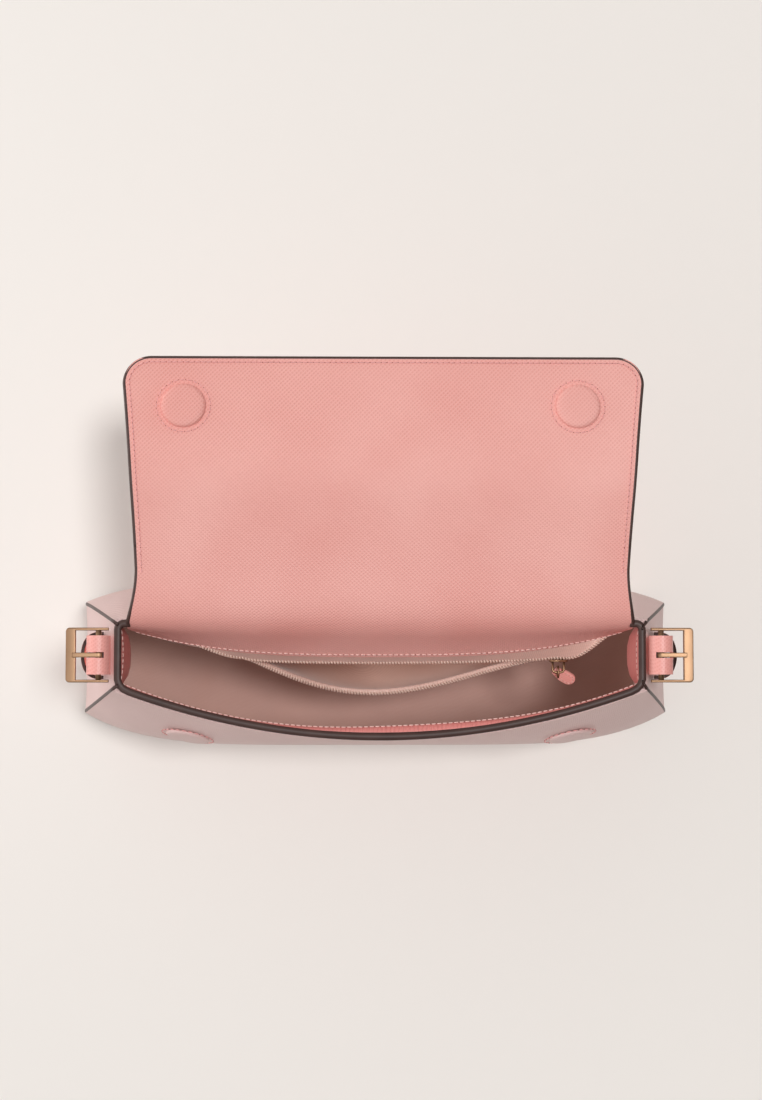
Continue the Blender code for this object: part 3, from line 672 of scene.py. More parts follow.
def add_shell():
    """Outer leather: front, back, two gussets that dip in a little, and the base."""
    looks = ["shell"]
    front = skin("front_leather", columns(), wall_heights(), panel_point(front_wall), LEATHER, looks)
    on_bag(front, "front_panel")
    heights = wall_heights(BACK_WALL_TOP)
    back = skin("back_leather", columns(), heights, panel_point(back_wall), LEATHER, looks, 1.0)
    on_bag(back, "back_panel")
    for side, name in SIDES:
        def place(share, z):
            x, height = side_point(z)
            depth = half_depth(z) - LEATHER
            dip = GUSSET_DIP * (1.0 - share ** 2) * smooth(z / GUSSET_DIP_FROM)
            return Vector((side * (x - dip), share * depth, height))
        across = spread(-1.0, 1.0, 10)
        gusset = skin("gusset_leather_" + name, across, wall_heights(), place, LEATHER, looks, -side)
        on_bag(gusset, "gusset_" + name)

    def base_point(share_x, share_y):
        x = share_x * BASE_FLAT_HALF
        front_y = inset(front_wall, x, BASE_SEAM_Z, LEATHER)
        back_y = inset(back_wall, x, BASE_SEAM_Z, LEATHER)
        return Vector((x, front_y + (back_y - front_y) * share_y, 0.0))
    base = skin("base_leather", columns(), spread(0.0, 1.0, 8), base_point, LEATHER, looks, 1.0)
    on_bag(base, "base_panel")


SEAM_RADIUS = 0.0004
SEAM_HALF_WIDTH = 0.0008
SEAM_INSET = 0.0009
SEAM_END_X = RIM_HALF_WIDTH - 0.0016
SEAM_END_Y = 0.0014
SEAM_END_Z = HEIGHT + 0.0002


def add_seams():
    """Painted cut edges of the front and back panels, where they meet the gussets and base."""
    for name, wall in (("front", front_wall), ("back", back_wall)):
        line = []
        for z in reversed(wall_heights()):
            x = side_point(z)[0]
            line.append(Vector((-x, wall(x, z), max(z, SEAM_RADIUS))))
        for x in spread(-BASE_FLAT_HALF, BASE_FLAT_HALF, 30)[1:-1]:
            line.append(Vector((x, wall(x, 0.0), SEAM_RADIUS)))
        for z in wall_heights():
            x = side_point(z)[0]
            line.append(Vector((x, wall(x, z), max(z, SEAM_RADIUS))))
        inward = 1.0 if wall is front_wall else -1.0
        line = [point + Vector((0.0, inward * SEAM_INSET, 0.0)) for point in line]
        for end, beyond in ((0, -1.0), (len(line), 1.0)):
            corner = Vector((beyond * SEAM_END_X, line[0].y + inward * SEAM_END_Y, SEAM_END_Z))
            line.insert(end, corner)
        section = circle(SEAM_RADIUS, SEAM_HALF_WIDTH)
        on_bag(sweep("seam_" + name, line, section, "edge", Vector((0.0, 1.0, 0.0))))


RIM_HALF_BAND = 0.00148
RIM_RISE = 0.0008
RIM_TUCK = 0.0009
RIM_DOME = ((-1.0, -0.9), (-1.05, 0.1), (-0.7, 0.75), (0.0, 1.0), (0.7, 0.75), (1.05, 0.1), (1.0, -0.9))
RIM_START = (0.1030, 0.1045)
RIM_BEND = 0.0026
RIM_END_RUN = (0.006, -0.0100)
RIM_CORNER = ((0.0007, -0.0121), (0.0022, -0.0138))
RIM_FRONT_START = 0.0048


def rim_line():
    """Middle line of the bound rim: round the left end, the bowed front and the right end."""
    end_x = RIM_HALF_WIDTH - RIM_HALF_BAND
    back_y = RIM_HALF_DEPTH - RIM_HALF_BAND
    line = [Vector((-x, back_y, HEIGHT)) for x in RIM_START]
    for degrees in spread(90.0, 180.0, 6):
        turn = radians(degrees)
        x = RIM_BEND * cos(turn) - end_x + RIM_BEND
        line.append(Vector((x, back_y - RIM_BEND + RIM_BEND * sin(turn), HEIGHT)))
    line += [Vector((-end_x, y, HEIGHT)) for y in spread(*RIM_END_RUN, 6)]
    line += [Vector((-end_x + x, y, HEIGHT)) for x, y in RIM_CORNER]
    for x in spread(-end_x + RIM_FRONT_START, 0.0, 40):
        line.append(Vector((x, inset(front_wall, x, HEIGHT, RIM_HALF_BAND), HEIGHT)))
    return line + [Vector((-point.x, point.y, point.z)) for point in reversed(line[:-1])]


def add_rim():
    """Dark painted bead along the rim."""
    section = [(a * RIM_HALF_BAND, b * RIM_RISE) for a, b in RIM_DOME]
    line = [point - Vector((0.0, 0.0, RIM_TUCK)) for point in rim_line()]
    on_bag(sweep("rim_paint", line, section, "edge"))


# Inside.
FACING_HEIGHTS = spread(FACING_BOTTOM, HEIGHT - 0.0014, 12)
FACING_ROW = HEIGHT - 0.0042
FACING_EDGE = 0.0003
FACING_TURN = 0.2
END_LEAN = 0.0084
END_GAP = 0.0004
FRONT_LEAN = 0.0036
FRONT_LEAN_AT = 0.25
FRONT_LEAN_SPREAD = 0.4


def facing_fall(z):
    """How far down the facing a height is, from 0 to 1."""
    return (HEIGHT - z) / (HEIGHT - FACING_BOTTOM)


def end_lean(share):
    """How far the soft end of the bag leans inward at the foot of its facing."""
    return END_LEAN * (1.0 - abs(share) ** 3)


def front_lean(share):
    """How far the front facing turns in just under the rim, most a little right of the middle."""
    return FRONT_LEAN * (0.5 + 0.5 * math.exp(-((share - FRONT_LEAN_AT) / FRONT_LEAN_SPREAD) ** 2))


def front_inside(depth):
    """Surface of the front facing, a depth inside the front."""
    def place(share, z):
        x = share * inner_half_width(z, INNER + FACING_GAP + FACING)
        turned_in = front_lean(share) * smooth(facing_fall(z) / FACING_TURN)
        return Vector((x, inset(front_wall, x, z, depth) + turned_in, z))
    return place


def end_inside(side, depth):
    """Surface of an end facing, a depth inside the gusset."""
    def place(share, z):
        x, height = side_point(z, depth)
        reach = half_depth(z) - INNER - END_GAP
        return Vector((side * (x - end_lean(share) * facing_fall(z)), share * reach, height))
    return place


def add_facings():
    """Leather bands under the rim, at the front and both ends, with a row of stitches."""
    looks = ["facing", "edge"]
    front = skin("front_rim_facing", columns(), FACING_HEIGHTS, front_inside(INNER), FACING, looks,
                 round_edge=FACING_EDGE)
    on_bag(front, "front_facing")
    surface = front_inside(INNER + FACING + CLEAR)
    rows = [[surface(share, FACING_ROW) for share in columns()]]
    for side, name in SIDES:
        end = skin("end_rim_facing_" + name, spread(-1.0, 1.0, 8), FACING_HEIGHTS, end_inside(side, INNER),
                   FACING, looks, -side, FACING_EDGE)
        on_bag(end, "gusset_facing_" + name)
        surface = end_inside(side, INNER + FACING + CLEAR)
        rows.append([surface(share, FACING_ROW) for share in spread(-0.98, 0.98, 8)])
    on_bag(stitches("facing_thread", rows))


FOLD_DEPTH = 0.0024
WIDE_FOLDS = 95.0
FINE_FOLDS = 210.0
FRONT_SEED = 0.4
END_SEED = 1.3
END_REACH = 1.035
FRONT_OVERLAP = 0.0004
BASE_OVERLAP = 0.0025
BASE_FOLD = 0.0005


def ripple(x, share, seed):
    """Depth of the soft folds in a hung lining, none at its upper and lower edge."""
    waves = sin(x * WIDE_FOLDS + seed) + 0.6 * sin(x * FINE_FOLDS - 3.0 * share + 2.0 * seed)
    return FOLD_DEPTH * (0.5 + 0.31 * waves) * sin(pi * share) ** 0.6


def add_linings():
    """Lining cloth of the front, the ends and the base."""
    looks = ["lining"]
    top = FACING_BOTTOM - LAYER_GAP
    depth = INNER + 0.4 * FACING
    tall = top - LINING_FOOT
    rows = spread(0.0, 1.0, 30)

    def front_point(share, rise):
        z = LINING_FOOT + tall * rise
        x = share * (inner_half_width(z, INNER + LINING) + FRONT_OVERLAP)
        y = inset(front_wall, x, z, depth) + front_lean(share) * rise ** 3
        return Vector((x, y + ripple(x, rise, FRONT_SEED), z))
    front = skin("front_satin", spread(-1.0, 1.0, 110), rows, front_point, LINING, looks)
    on_bag(front, "lining_front")
    low_wide = 2.0 * inner_half_width(LINING_FOOT, INNER)
    top_wide = 2.0 * inner_half_width(top, INNER)

    for side, name in SIDES:
        def end_point(share, rise):
            z = LINING_FOOT + tall * rise
            x, height = side_point(z, depth + ripple(share * 0.03, rise, END_SEED + side))
            reach = half_depth(z) - INNER - LINING
            return Vector((side * (x - end_lean(share) * rise ** 3), share * reach, height))
        across = spread(-END_REACH, END_REACH, 24)
        end = skin("end_satin_" + name, across, rows, end_point, LINING, looks, -side)
        on_bag(end, "lining_" + name)
        deep = 2.0 * half_depth(LINING_FOOT)

    base_half = inner_half_width(LINING_FOOT, INNER) + BASE_OVERLAP

    def base_point(share_x, share_y):
        x = share_x * base_half
        front_y = inset(front_wall, x, LINING_FOOT, INNER)
        back_y = inset(back_wall, x, LINING_FOOT, INNER)
        folds = sin(x * 90.0 + 3.0 * share_y) + 0.5 * sin(x * 215.0 - 5.0 * share_y)
        dip = BASE_FOLD * (1.5 + folds) * sin(pi * share_y)
        return Vector((x, front_y + (back_y - front_y) * share_y, LINING_FOOT + dip))
    base = skin("base_satin", spread(-1.0, 1.0, 60), spread(0.03, 0.97, 12), base_point, LINING, looks)
    on_bag(base, "lining_base")


# Zip pocket.
FACING_REACH = 0.1058
FACING_CURVE = 3.0
LIP_SKEW = 0.80
LIP_CURVE = 1.35
LEFT_TAPER = 0.024
RIGHT_TAPER = 0.019
RIGHT_TAPER_START = 0.0805
TUCK_BACK = 0.0014
TUCK_RISE = 0.0015
TUCK_FLATTEN = 0.3
TAPE_TOP_CLEAR = 0.0009
UPPER_SHOW = 0.0021
UNDER_FACING = 0.0004


def rim_back_inside(x):
    return inset(back_wall, x, HEIGHT, INNER + FACING + FACING_GAP)


def facing_lower_edge(x):
    """Y of the lower edge of the facing over the zip, which leans forward from the rim."""
    return rim_back_inside(x) - BACK_LEAN * (1.0 - abs(x / FACING_REACH) ** FACING_CURVE)


def under_facing(x):
    """Point just under the lower edge of the facing over the zip."""
    return Vector((x, facing_lower_edge(x) + UNDER_FACING, FACING_BOTTOM - LAYER_GAP))


def lip_sag(x):
    """How far open the pocket mouth is at x, deepest a little left of its middle."""
    along = (x - MOUTH_START) / (MOUTH_END - MOUTH_START)
    if along <= 0.0 or along >= 1.0:
        return 0.0
    return sin(pi * along ** LIP_SKEW)


def tuck(x):
    """How far the ends of the zip have slipped up behind the facing, from 0 to 1."""
    return smooth(max((MOUTH_START - x) / LEFT_TAPER, (x - RIGHT_TAPER_START) / RIGHT_TAPER))


def tucked(x, point):
    """A point of the zip, moved behind the facing where the zip's ends have slipped up."""
    z = FACING_BOTTOM + TUCK_RISE + (point.z - COIL_BACK_Z) * TUCK_FLATTEN
    return point.lerp(Vector((x, facing_lower_edge(x) + TUCK_BACK, z)), tuck(x))


def lip_point(x, below=0.0):
    """Point on the sagging front edge of the pocket mouth, or below it."""
    sag = lip_sag(x)
    z = COIL_FRONT_Z - LIP_SAG_DOWN * sag - below
    return tucked(x, Vector((x, ZIP_Y - LIP_SAG_FORWARD * sag ** LIP_CURVE, z)))


def lining_top(x):
    """Upper edge of the back lining: under the front tape, and under the facing beyond the zip."""
    return lip_point(x, TAPE_TOP_CLEAR + TAPE_WIDTH).lerp(under_facing(x), tuck(x))


BACK_INSET = 0.0008
BACK_SEED = 2.1
BACK_FOOT = 0.0040
BACK_WIDEN = 1.15
POCKET_CLOTH = 0.0004
POCKET_DEPTH = 0.080
POCKET_TOP = 0.0005
POCKET_TOP_GAP = 0.0026
POCKET_FOOT_Y = 0.016
POCKET_LOW = 0.22
POCKET_CLIMB = 0.77
POCKET_GAP = 0.0010
POCKET_ROUND = 0.0030
POCKET_INSET = 0.002


def back_lining_point(x, rise, behind=0.0):
    """Point of the back lining, which hangs from the lip to the foot of the back wall."""
    top = lining_top(x)
    z = LINING_FOOT + (top.z - LINING_FOOT) * rise
    widen = inner_half_width(z, INNER + LINING) / inner_half_width(FACING_BOTTOM, INNER + FACING)
    wide_x = x * (1.0 + (min(widen, BACK_WIDEN) - 1.0) * (1.0 - rise))
    foot_y = inset(back_wall, wide_x, LINING_FOOT, INNER + BACK_FOOT)
    y = foot_y + (top.y - foot_y) * (1.0 - (1.0 - rise) ** 2)
    return Vector((wide_x, y + behind - ripple(x, rise, BACK_SEED), z))


def add_pocket():
    """Back lining, and the pocket bag that hangs behind it."""
    reach = inner_half_width(FACING_BOTTOM, INNER + FACING) - BACK_INSET
    across = spread(-reach, reach, 130)
    lining = skin("back_satin", across, spread(0.0, 1.0, 30), back_lining_point, LINING, ["lining"])
    on_bag(lining, "lining_back")

    def bag_point(x, step):
        if step <= 1.0:
            edge = facing_lower_edge(x)
            y = edge + POCKET_TOP_GAP + (POCKET_FOOT_Y - edge) * step
            return Vector((x, y, FACING_BOTTOM + POCKET_TOP - POCKET_DEPTH * step))
        share = step - 1.0
        spot = back_lining_point(x, POCKET_LOW + POCKET_CLIMB * share, POCKET_GAP)
        return Vector((x, spot.y + POCKET_ROUND * (1.0 - share), spot.z))
    middle = spread(ZIP_START + POCKET_INSET, ZIP_END - POCKET_INSET, 60)
    steps = spread(0.0, 1.0, 10) + spread(1.03, 2.0, 10)
    bag = skin("pocket_satin", middle, steps, bag_point, POCKET_CLOTH, ["pocket"], even=False)
    on_bag(bag, "pocket_bag")


COIL_WIRE = 0.00034
COIL_TURN = 0.0013
COIL_SPREAD = 0.00075
TURN_POINTS = 9
UPPER_TAPE_RISE = 0.0010
UPPER_TAPE_BACK = 0.0004
LIP_SEAM_BELOW = 0.0050
LIP_SEAM_AHEAD = Vector((0.0, -0.0003, 0.0))


def helix(line):
    """Points of a coil wound along a line of points."""
    points = []
    for spot, along in walk(line, COIL_TURN / TURN_POINTS):
        turn = 2.0 * pi * len(points) / TURN_POINTS
        rise = along.cross(Vector((0.0, 1.0, 0.0))).normalized()
        across = rise.cross(along)
        aside = across * (COIL_SPREAD * cos(turn))
        points.append(spot + aside + rise * (COIL_SPREAD * sin(turn)))
    return points


def gathers(piece):
    """Give a piece of the open lip its own copy of its mesh; nothing here draws it up to the straight tape
    as the slider closes the zip.
    """
    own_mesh(piece)


def straightens(piece):
    """Give a piece of the back half of the zip its own copy of its mesh; nothing here draws it straight as
    the slider closes it.
    """
    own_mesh(piece)


def upper_line(x, rise, back=0.0):
    """The back half of the zip, pulled forward into view where the mouth stands open."""
    show = UPPER_SHOW * lip_sag(x) ** 0.5
    return tucked(x, Vector((x, ZIP_Y + back - show, COIL_BACK_Z + rise)))


def front_line(x):
    return lip_point(x) + Vector((0.0, COIL_BEHIND, 0.0))


def back_line(x):
    return upper_line(x, 0.0, COIL_BEHIND)


def lower_tape(x, below):
    return lip_point(x, TAPE_TOP_CLEAR + below)


def upper_tape(x, share):
    return upper_line(x, UPPER_TAPE_RISE, UPPER_TAPE_BACK).lerp(under_facing(x), share)


ZIP_PARTS = (
    ("", MOUTH_START, RIGHT_TAPER_START, 260),
    ("_end_left", MOUTH_START - LEFT_TAPER, MOUTH_START, 70),
    ("_end_right", RIGHT_TAPER_START, RIGHT_TAPER_START + RIGHT_TAPER, 56),
)
CORD_OFFSET = Vector((0.0, 0.0009, -0.0002))
CORD_RADIUS = 0.0010


def fasten(piece, part, moves, *nodes):
    """The run along the mouth rides the bag in place of the nodes and gets its own copy of its mesh; the
    tucked ends only ride the bag.
    """
    if part:
        on_bag(piece)
    else:
        on_bag(piece, *nodes)
        moves(piece)


def add_coil(name, line_at, moves):
    """Coil and cord of one half of the zip."""
    for part, start, end, count in ZIP_PARTS:
        line = [line_at(x) for x in spread(start, end, count)]
        teeth = sweep("zip_teeth_" + name + part, helix(line), circle(COIL_WIRE, sides=6), "coil")
        core = sweep("zip_cord_" + name + part, [spot + CORD_OFFSET for spot in line],
                     circle(CORD_RADIUS, sides=8), "tape")
        fasten(teeth, part, moves, "zip_coil_" + name)
        fasten(core, part, moves)


def add_zip():
    """Both tapes and coils of the zip, and the stitches along the front tape."""
    across = spread(MOUTH_START - LEFT_TAPER, RIGHT_TAPER_START + RIGHT_TAPER, 110)
    tape = skin("zip_tape_upper", across, spread(0.0, 1.0, 5), upper_tape, TAPE, ["tape"])
    on_bag(tape, "zip_tape_back")
    down = spread(TAPE_WIDTH, 0.0, 5)
    for part, start, end, count in ZIP_PARTS:
        across = spread(start, end, count // 3)
        lip = skin("zip_tape_lower" + part, across, down, lower_tape, TAPE, ["tape"])
        fasten(lip, part, gathers, "zip_tape_front")
    add_coil("back", back_line, straightens)
    add_coil("front", front_line, gathers)
    mouth = spread(MOUTH_START, RIGHT_TAPER_START, 260)
    seam = [lower_tape(x, LIP_SEAM_BELOW) + LIP_SEAM_AHEAD for x in mouth]
    lip_thread = stitches("lip_thread", [seam], pitch=0.0026, length=0.0019, radius=0.0002)
    on_bag(lip_thread)
    gathers(lip_thread)


# Turned and cut pieces.
WELD = 0.000001


def plate(name, outlines, thickness, look, place, edge=0.0003):
    """Flat piece of a given outline, with holes, its edges rounded."""
    curve = bpy.data.curves.new(name, "CURVE")
    curve.dimensions = "2D"
    curve.fill_mode = "BOTH"
    curve.extrude = thickness / 2.0 - edge
    curve.bevel_depth = edge
    curve.bevel_resolution = 2
    curve.offset = -edge
    for outline in outlines:
        spline = curve.splines.new("POLY")
        spline.points.add(len(outline) - 1)
        spline.use_cyclic_u = True
        for point, (x, y) in zip(spline.points, outline):
            point.co = (x, y, 0.0, 1.0)
    drawn = add_object(name + "_outline", curve)
    mesh = final_mesh(drawn)
    bpy.data.objects.remove(drawn, do_unlink=True)
    welded = bmesh.new()
    welded.from_mesh(mesh)
    bmesh.ops.remove_doubles(welded, verts=welded.verts, dist=WELD)
    bmesh.ops.transform(welded, matrix=place, verts=welded.verts)
    welded.to_mesh(mesh)
    welded.free()
    crisp(mesh, 40.0)
    return add_piece(name, mesh, [look])


def arc(centre, radius, start, end, steps=16):
    """Points of an arc between two angles in degrees."""
    turns = [radians(turn) for turn in spread(start, end, steps)]
    return [(centre[0] + radius * cos(turn), centre[1] + radius * sin(turn)) for turn in turns]


SLIDER_X = 0.0765
SLIDER_AT = Vector((SLIDER_X, ZIP_Y + COIL_BEHIND, (COIL_BACK_Z + COIL_FRONT_Z) / 2.0))
SLIDER_HALF = 0.0040
SLIDER_FACE = 0.0021
SLIDER_PLATE = 0.0010
SLIDER_NOSE = 0.0031
SLIDER_TAIL = 0.0017
SLIDER_WAIST_X = 0.0008
SLIDER_WAIST_Z = 0.0022
SLIDER_BACK_SHARE = 0.45
POST_X = 0.0015
POST_END = 0.0006
POST_HALF_WIDE = 0.0010
POST_HALF_THICK = 0.0003
BAIL_BEND = 0.0012
BAIL_FOOT = -0.0021
BAIL_TOP = -0.0064
BAIL_WIRE = 0.0005
LINK_WIRE = 0.0004
PULL_LEATHER = 0.0016
PULL_SHOULDER = 0.0046
PULL_TOP_SHARE = 0.55
PULL_EYE = 0.0017
PULL_HOLE = 0.0009
PULL_SEAM = 0.0009
PULL_LEAN = radians(-70.0)
PULL_OUT = radians(-28.0)
PULL_TWIST = radians(42.0)
UPRIGHT = Matrix.Rotation(radians(90.0), 4, "X")


def add_slider():
    """Slider with a waisted front plate, a back plate and post, and its bail."""
    shield = arc((-SLIDER_HALF + SLIDER_NOSE, 0.0), SLIDER_NOSE, 90.0, 270.0, 12)
    shield += [(SLIDER_WAIST_X, -SLIDER_WAIST_Z)]
    shield += arc((SLIDER_HALF - SLIDER_TAIL, 0.0), SLIDER_TAIL, -70.0, 70.0, 8)
    shield += [(SLIDER_WAIST_X, SLIDER_WAIST_Z)]
    half_plate = SLIDER_PLATE / 2.0
    face = Matrix.Translation(SLIDER_AT + Vector((0.0, -SLIDER_FACE + half_plate, 0.0))) @ UPRIGHT
    attach(plate("slider_front", [shield], SLIDER_PLATE, "gold", face), "slider", "zip_slider")
    rear = Matrix.Translation(SLIDER_AT + Vector((0.0, SLIDER_FACE - half_plate, 0.0))) @ UPRIGHT
    low = [(x, z * SLIDER_BACK_SHARE) for x, z in shield]
    attach(plate("slider_back", [low], SLIDER_PLATE, "gold", rear), "slider")
    post_ends = (-SLIDER_FACE + POST_END, SLIDER_FACE - POST_END)
    post = [SLIDER_AT + Vector((POST_X, y, 0.0)) for y in post_ends]
    section = circle(POST_HALF_WIDE, POST_HALF_THICK, 8)
    attach(sweep("slider_post", post, section, "gold"), "slider")
    arch = [(-2.0 * BAIL_BEND, BAIL_FOOT)]
    arch += arc((-BAIL_BEND, BAIL_TOP + BAIL_BEND), BAIL_BEND, 180.0, 270.0, 6)
    arch += arc((BAIL_BEND, BAIL_TOP + BAIL_BEND), BAIL_BEND, 270.0, 360.0, 6)
    arch += [(2.0 * BAIL_BEND, BAIL_FOOT)]
    wire = [SLIDER_AT + Vector((x, y, 0.0)) for x, y in arch]
    bail = sweep("slider_bail", wire, circle(BAIL_WIRE, sides=10), "gold")
    attach(bail, "slider", "zip_slider_bail")


def add_pull():
    """Link on the bail, and the stitched leather pull that hangs from it, turned to the right."""
    lowest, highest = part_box("zip_pull_link")
    centre = (lowest + highest) / 2.0
    radius = (highest.z - lowest.z) / 2.0 - LINK_WIRE
    ring = [centre + Vector((0.0, radius * cos(turn), radius * sin(turn)))
            for turn in spread(0.0, 2.0 * pi, 28)]
    link = sweep("pull_link", ring, circle(LINK_WIRE, sides=8), "gold", Vector((1.0, 0.0, 0.0)))
    attach(link, "pull", "zip_pull_link")
    low_tab, high_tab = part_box("zip_pull_tab")
    middle = (low_tab + high_tab) / 2.0
    half = (high_tab.x - low_tab.x) / 2.0
    long = (high_tab.z - low_tab.z) / 2.0
    shoulder = long - PULL_SHOULDER
    narrow = half * PULL_TOP_SHARE
    tab = arc((0.0, half - long), half, 180.0, 360.0)
    tab += [(half, shoulder), (narrow, long), (-narrow, long), (-half, shoulder)]
    hole = arc((0.0, long - PULL_EYE), PULL_HOLE, 0.0, 330.0, 11)
    eye = Vector((middle.x, middle.y, middle.z + long - PULL_EYE))
    swing = Matrix.Rotation(PULL_LEAN, 4, "Y") @ Matrix.Rotation(PULL_OUT, 4, "X")
    swing = swing @ Matrix.Rotation(PULL_TWIST, 4, "Z")
    hang = Matrix.Translation(eye) @ swing @ Matrix.Translation(-eye)
    place = hang @ Matrix.Translation(middle) @ UPRIGHT
    pull = plate("pull_leather", [tab, hole], PULL_LEATHER, "tab", place)
    attach(pull, "pull", "zip_pull_tab")
    inner = half - PULL_SEAM
    seam = [(-inner, shoulder)] + arc((0.0, half - long), inner, 180.0, 360.0) + [(inner, shoulder)]
    thread_line = [hang @ (middle + Vector((x, -PULL_LEATHER / 2.0, z))) for x, z in seam]
    attach(stitches("pull_thread", [thread_line], pitch=0.0016, length=0.0011, radius=0.00018), "pull")


# Flap.
FLAP_STEPS = 436
EDGE_PAINT_HALF = 0.00105
PAINT_INSET = 0.0006
PAINT_OUT = 0.0002
THREAD_INSET = 0.0023
FLAP_LINING = 0.0010
FLAP_OUTER = 0.0012
ROLL_END = 0.021
ROLL_FOOT = HEIGHT - 0.0075
ROLL_STEP = 0.002
ROLL_BOW = 0.45
OUTER_ROLL_LOW = HEIGHT - 0.005
OUTER_ROLL_FOOT = HEIGHT - 0.0035
OUTER_ROLL_BOW = 0.16
ROOT_HALF_WIDTH = FACING_REACH - 0.0012
ROOT_ROW_START = ROLL_END - 0.002
BORDER_INSET = 0.0004
ZIP_ROW_RISE = 0.0021
ZIP_ROW_END = 0.003
PAINT_SECTION = circle(EDGE_PAINT_HALF, FLAP_HALF + CLEAR, 12)


def flap_angle(along):
    return FLAP_RISE + FLAP_FOLD * smooth((along - FLAP_TOP_LENGTH + FOLD_ZONE) / (2.0 * FOLD_ZONE))


def flap_profile():
    """Y and Z of the flap's middle at even steps from the hinge to its end."""
    step = FLAP_LENGTH / FLAP_STEPS
    points = [(HINGE.y, HINGE.z)]
    for k in range(FLAP_STEPS):
        angle = flap_angle((k + 0.5) * step)
        y, z = points[-1]
        points.append((y + step * cos(angle), z + step * sin(angle)))
    return points


PROFILE = flap_profile()


def flap_point(x, along, lift=0.0):
    """Point of the flap at a length from the hinge, lifted off its middle layer."""
    spot = max(0.0, min(1.0, along / FLAP_LENGTH)) * FLAP_STEPS
    index = min(int(spot), FLAP_STEPS - 1)
    share = spot - index
    y = PROFILE[index][0] + (PROFILE[index + 1][0] - PROFILE[index][0]) * share
    z = PROFILE[index][1] + (PROFILE[index + 1][1] - PROFILE[index][1]) * share
    angle = flap_angle(along)
    drift = FLAP_DRIFT * (0.45 + 0.55 * along / FLAP_LENGTH)
    return Vector((x + drift, y - lift * sin(angle), z + lift * cos(angle)))


def flap_half_width(along):
    widening = FLAP_END_HALF_WIDTH - FLAP_HINGE_HALF_WIDTH
    return FLAP_HINGE_HALF_WIDTH + widening * (along / FLAP_LENGTH) ** FLAP_FLARE


def flap_reach(along, inset_by=0.0):
    """Half width of the flap's outline, rounded at its far corners, set in by a distance."""
    radius = FLAP_CORNER_RADIUS - inset_by
    past = along - (FLAP_LENGTH - FLAP_CORNER_RADIUS)
    width = flap_half_width(along) - inset_by
    if past <= 0.0:
        return width
    return width - radius + sqrt(max(0.0, radius ** 2 - past ** 2))


def flap_border(start, inset_by, lift):
    """Line round the flap's outline from its left side to its right, set in by a distance."""
    straight = FLAP_LENGTH - FLAP_CORNER_RADIUS
    left = [(-flap_reach(along, inset_by), along) for along in spread(start, straight, 60)]
    radius = FLAP_CORNER_RADIUS - inset_by
    centre = flap_half_width(straight) - FLAP_CORNER_RADIUS
    corner = []
    for turn in spread(0.0, pi / 2.0, 14)[1:]:
        corner.append((-centre - radius * cos(turn), straight + radius * sin(turn)))
    far = [(x, FLAP_LENGTH - inset_by) for x in spread(-centre, 0.0, 40)[1:]]
    half = left + corner + far
    whole = half + [(-x, along) for x, along in reversed(half[:-1])]
    return [flap_point(x, along, lift) for x, along in whole]


def bezier(points, share):
    """Point at a share of the curve that the points lead."""
    while len(points) > 1:
        points = [first.lerp(second, share) for first, second in zip(points, points[1:])]
    return points[0]


def rolled(half_width, low, high, lean, lift, handle):
    """Profile that climbs a wall from low to high and rolls over into the flap."""
    def place(share, part):
        x = share * half_width
        if part <= 1.0:
            return Vector((x, *lean(x, low + (high - low) * part)))
        foot = Vector((x, *lean(x, high)))
        under = Vector((x, *lean(x, high - ROLL_STEP)))
        climb = (foot - under).normalized()
        narrow = share * (flap_reach(ROLL_END) - PAINT_INSET)
        end = flap_point(narrow, ROLL_END, lift)
        angle = flap_angle(ROLL_END)
        ahead = Vector((0.0, cos(angle), sin(angle)))
        if part <= 2.0:
            bow = handle * (end - foot).length
            return bezier([foot, foot + climb * bow, end - ahead * bow, end], part - 1.0)
        along = ROLL_END + (FLAP_SPLIT - ROLL_END) * (part - 2.0)
        return flap_point(share * (flap_reach(along) - PAINT_INSET), along, lift)
    return place


def hinges(piece):
    """Bake a piece's placement into its mesh; nothing here bends the leather at the back rim between the
    bag and the flap.
    """
    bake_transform(piece)
    return piece


def folds(piece):
    """Bake a piece's placement into its mesh; nothing here bends the flap between its top and its drop."""
    start = flap_point(0.0, FLAP_TOP_LENGTH - FOLD_ZONE)
    end = flap_point(0.0, FLAP_TOP_LENGTH + FOLD_ZONE)
    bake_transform(piece)
    return piece


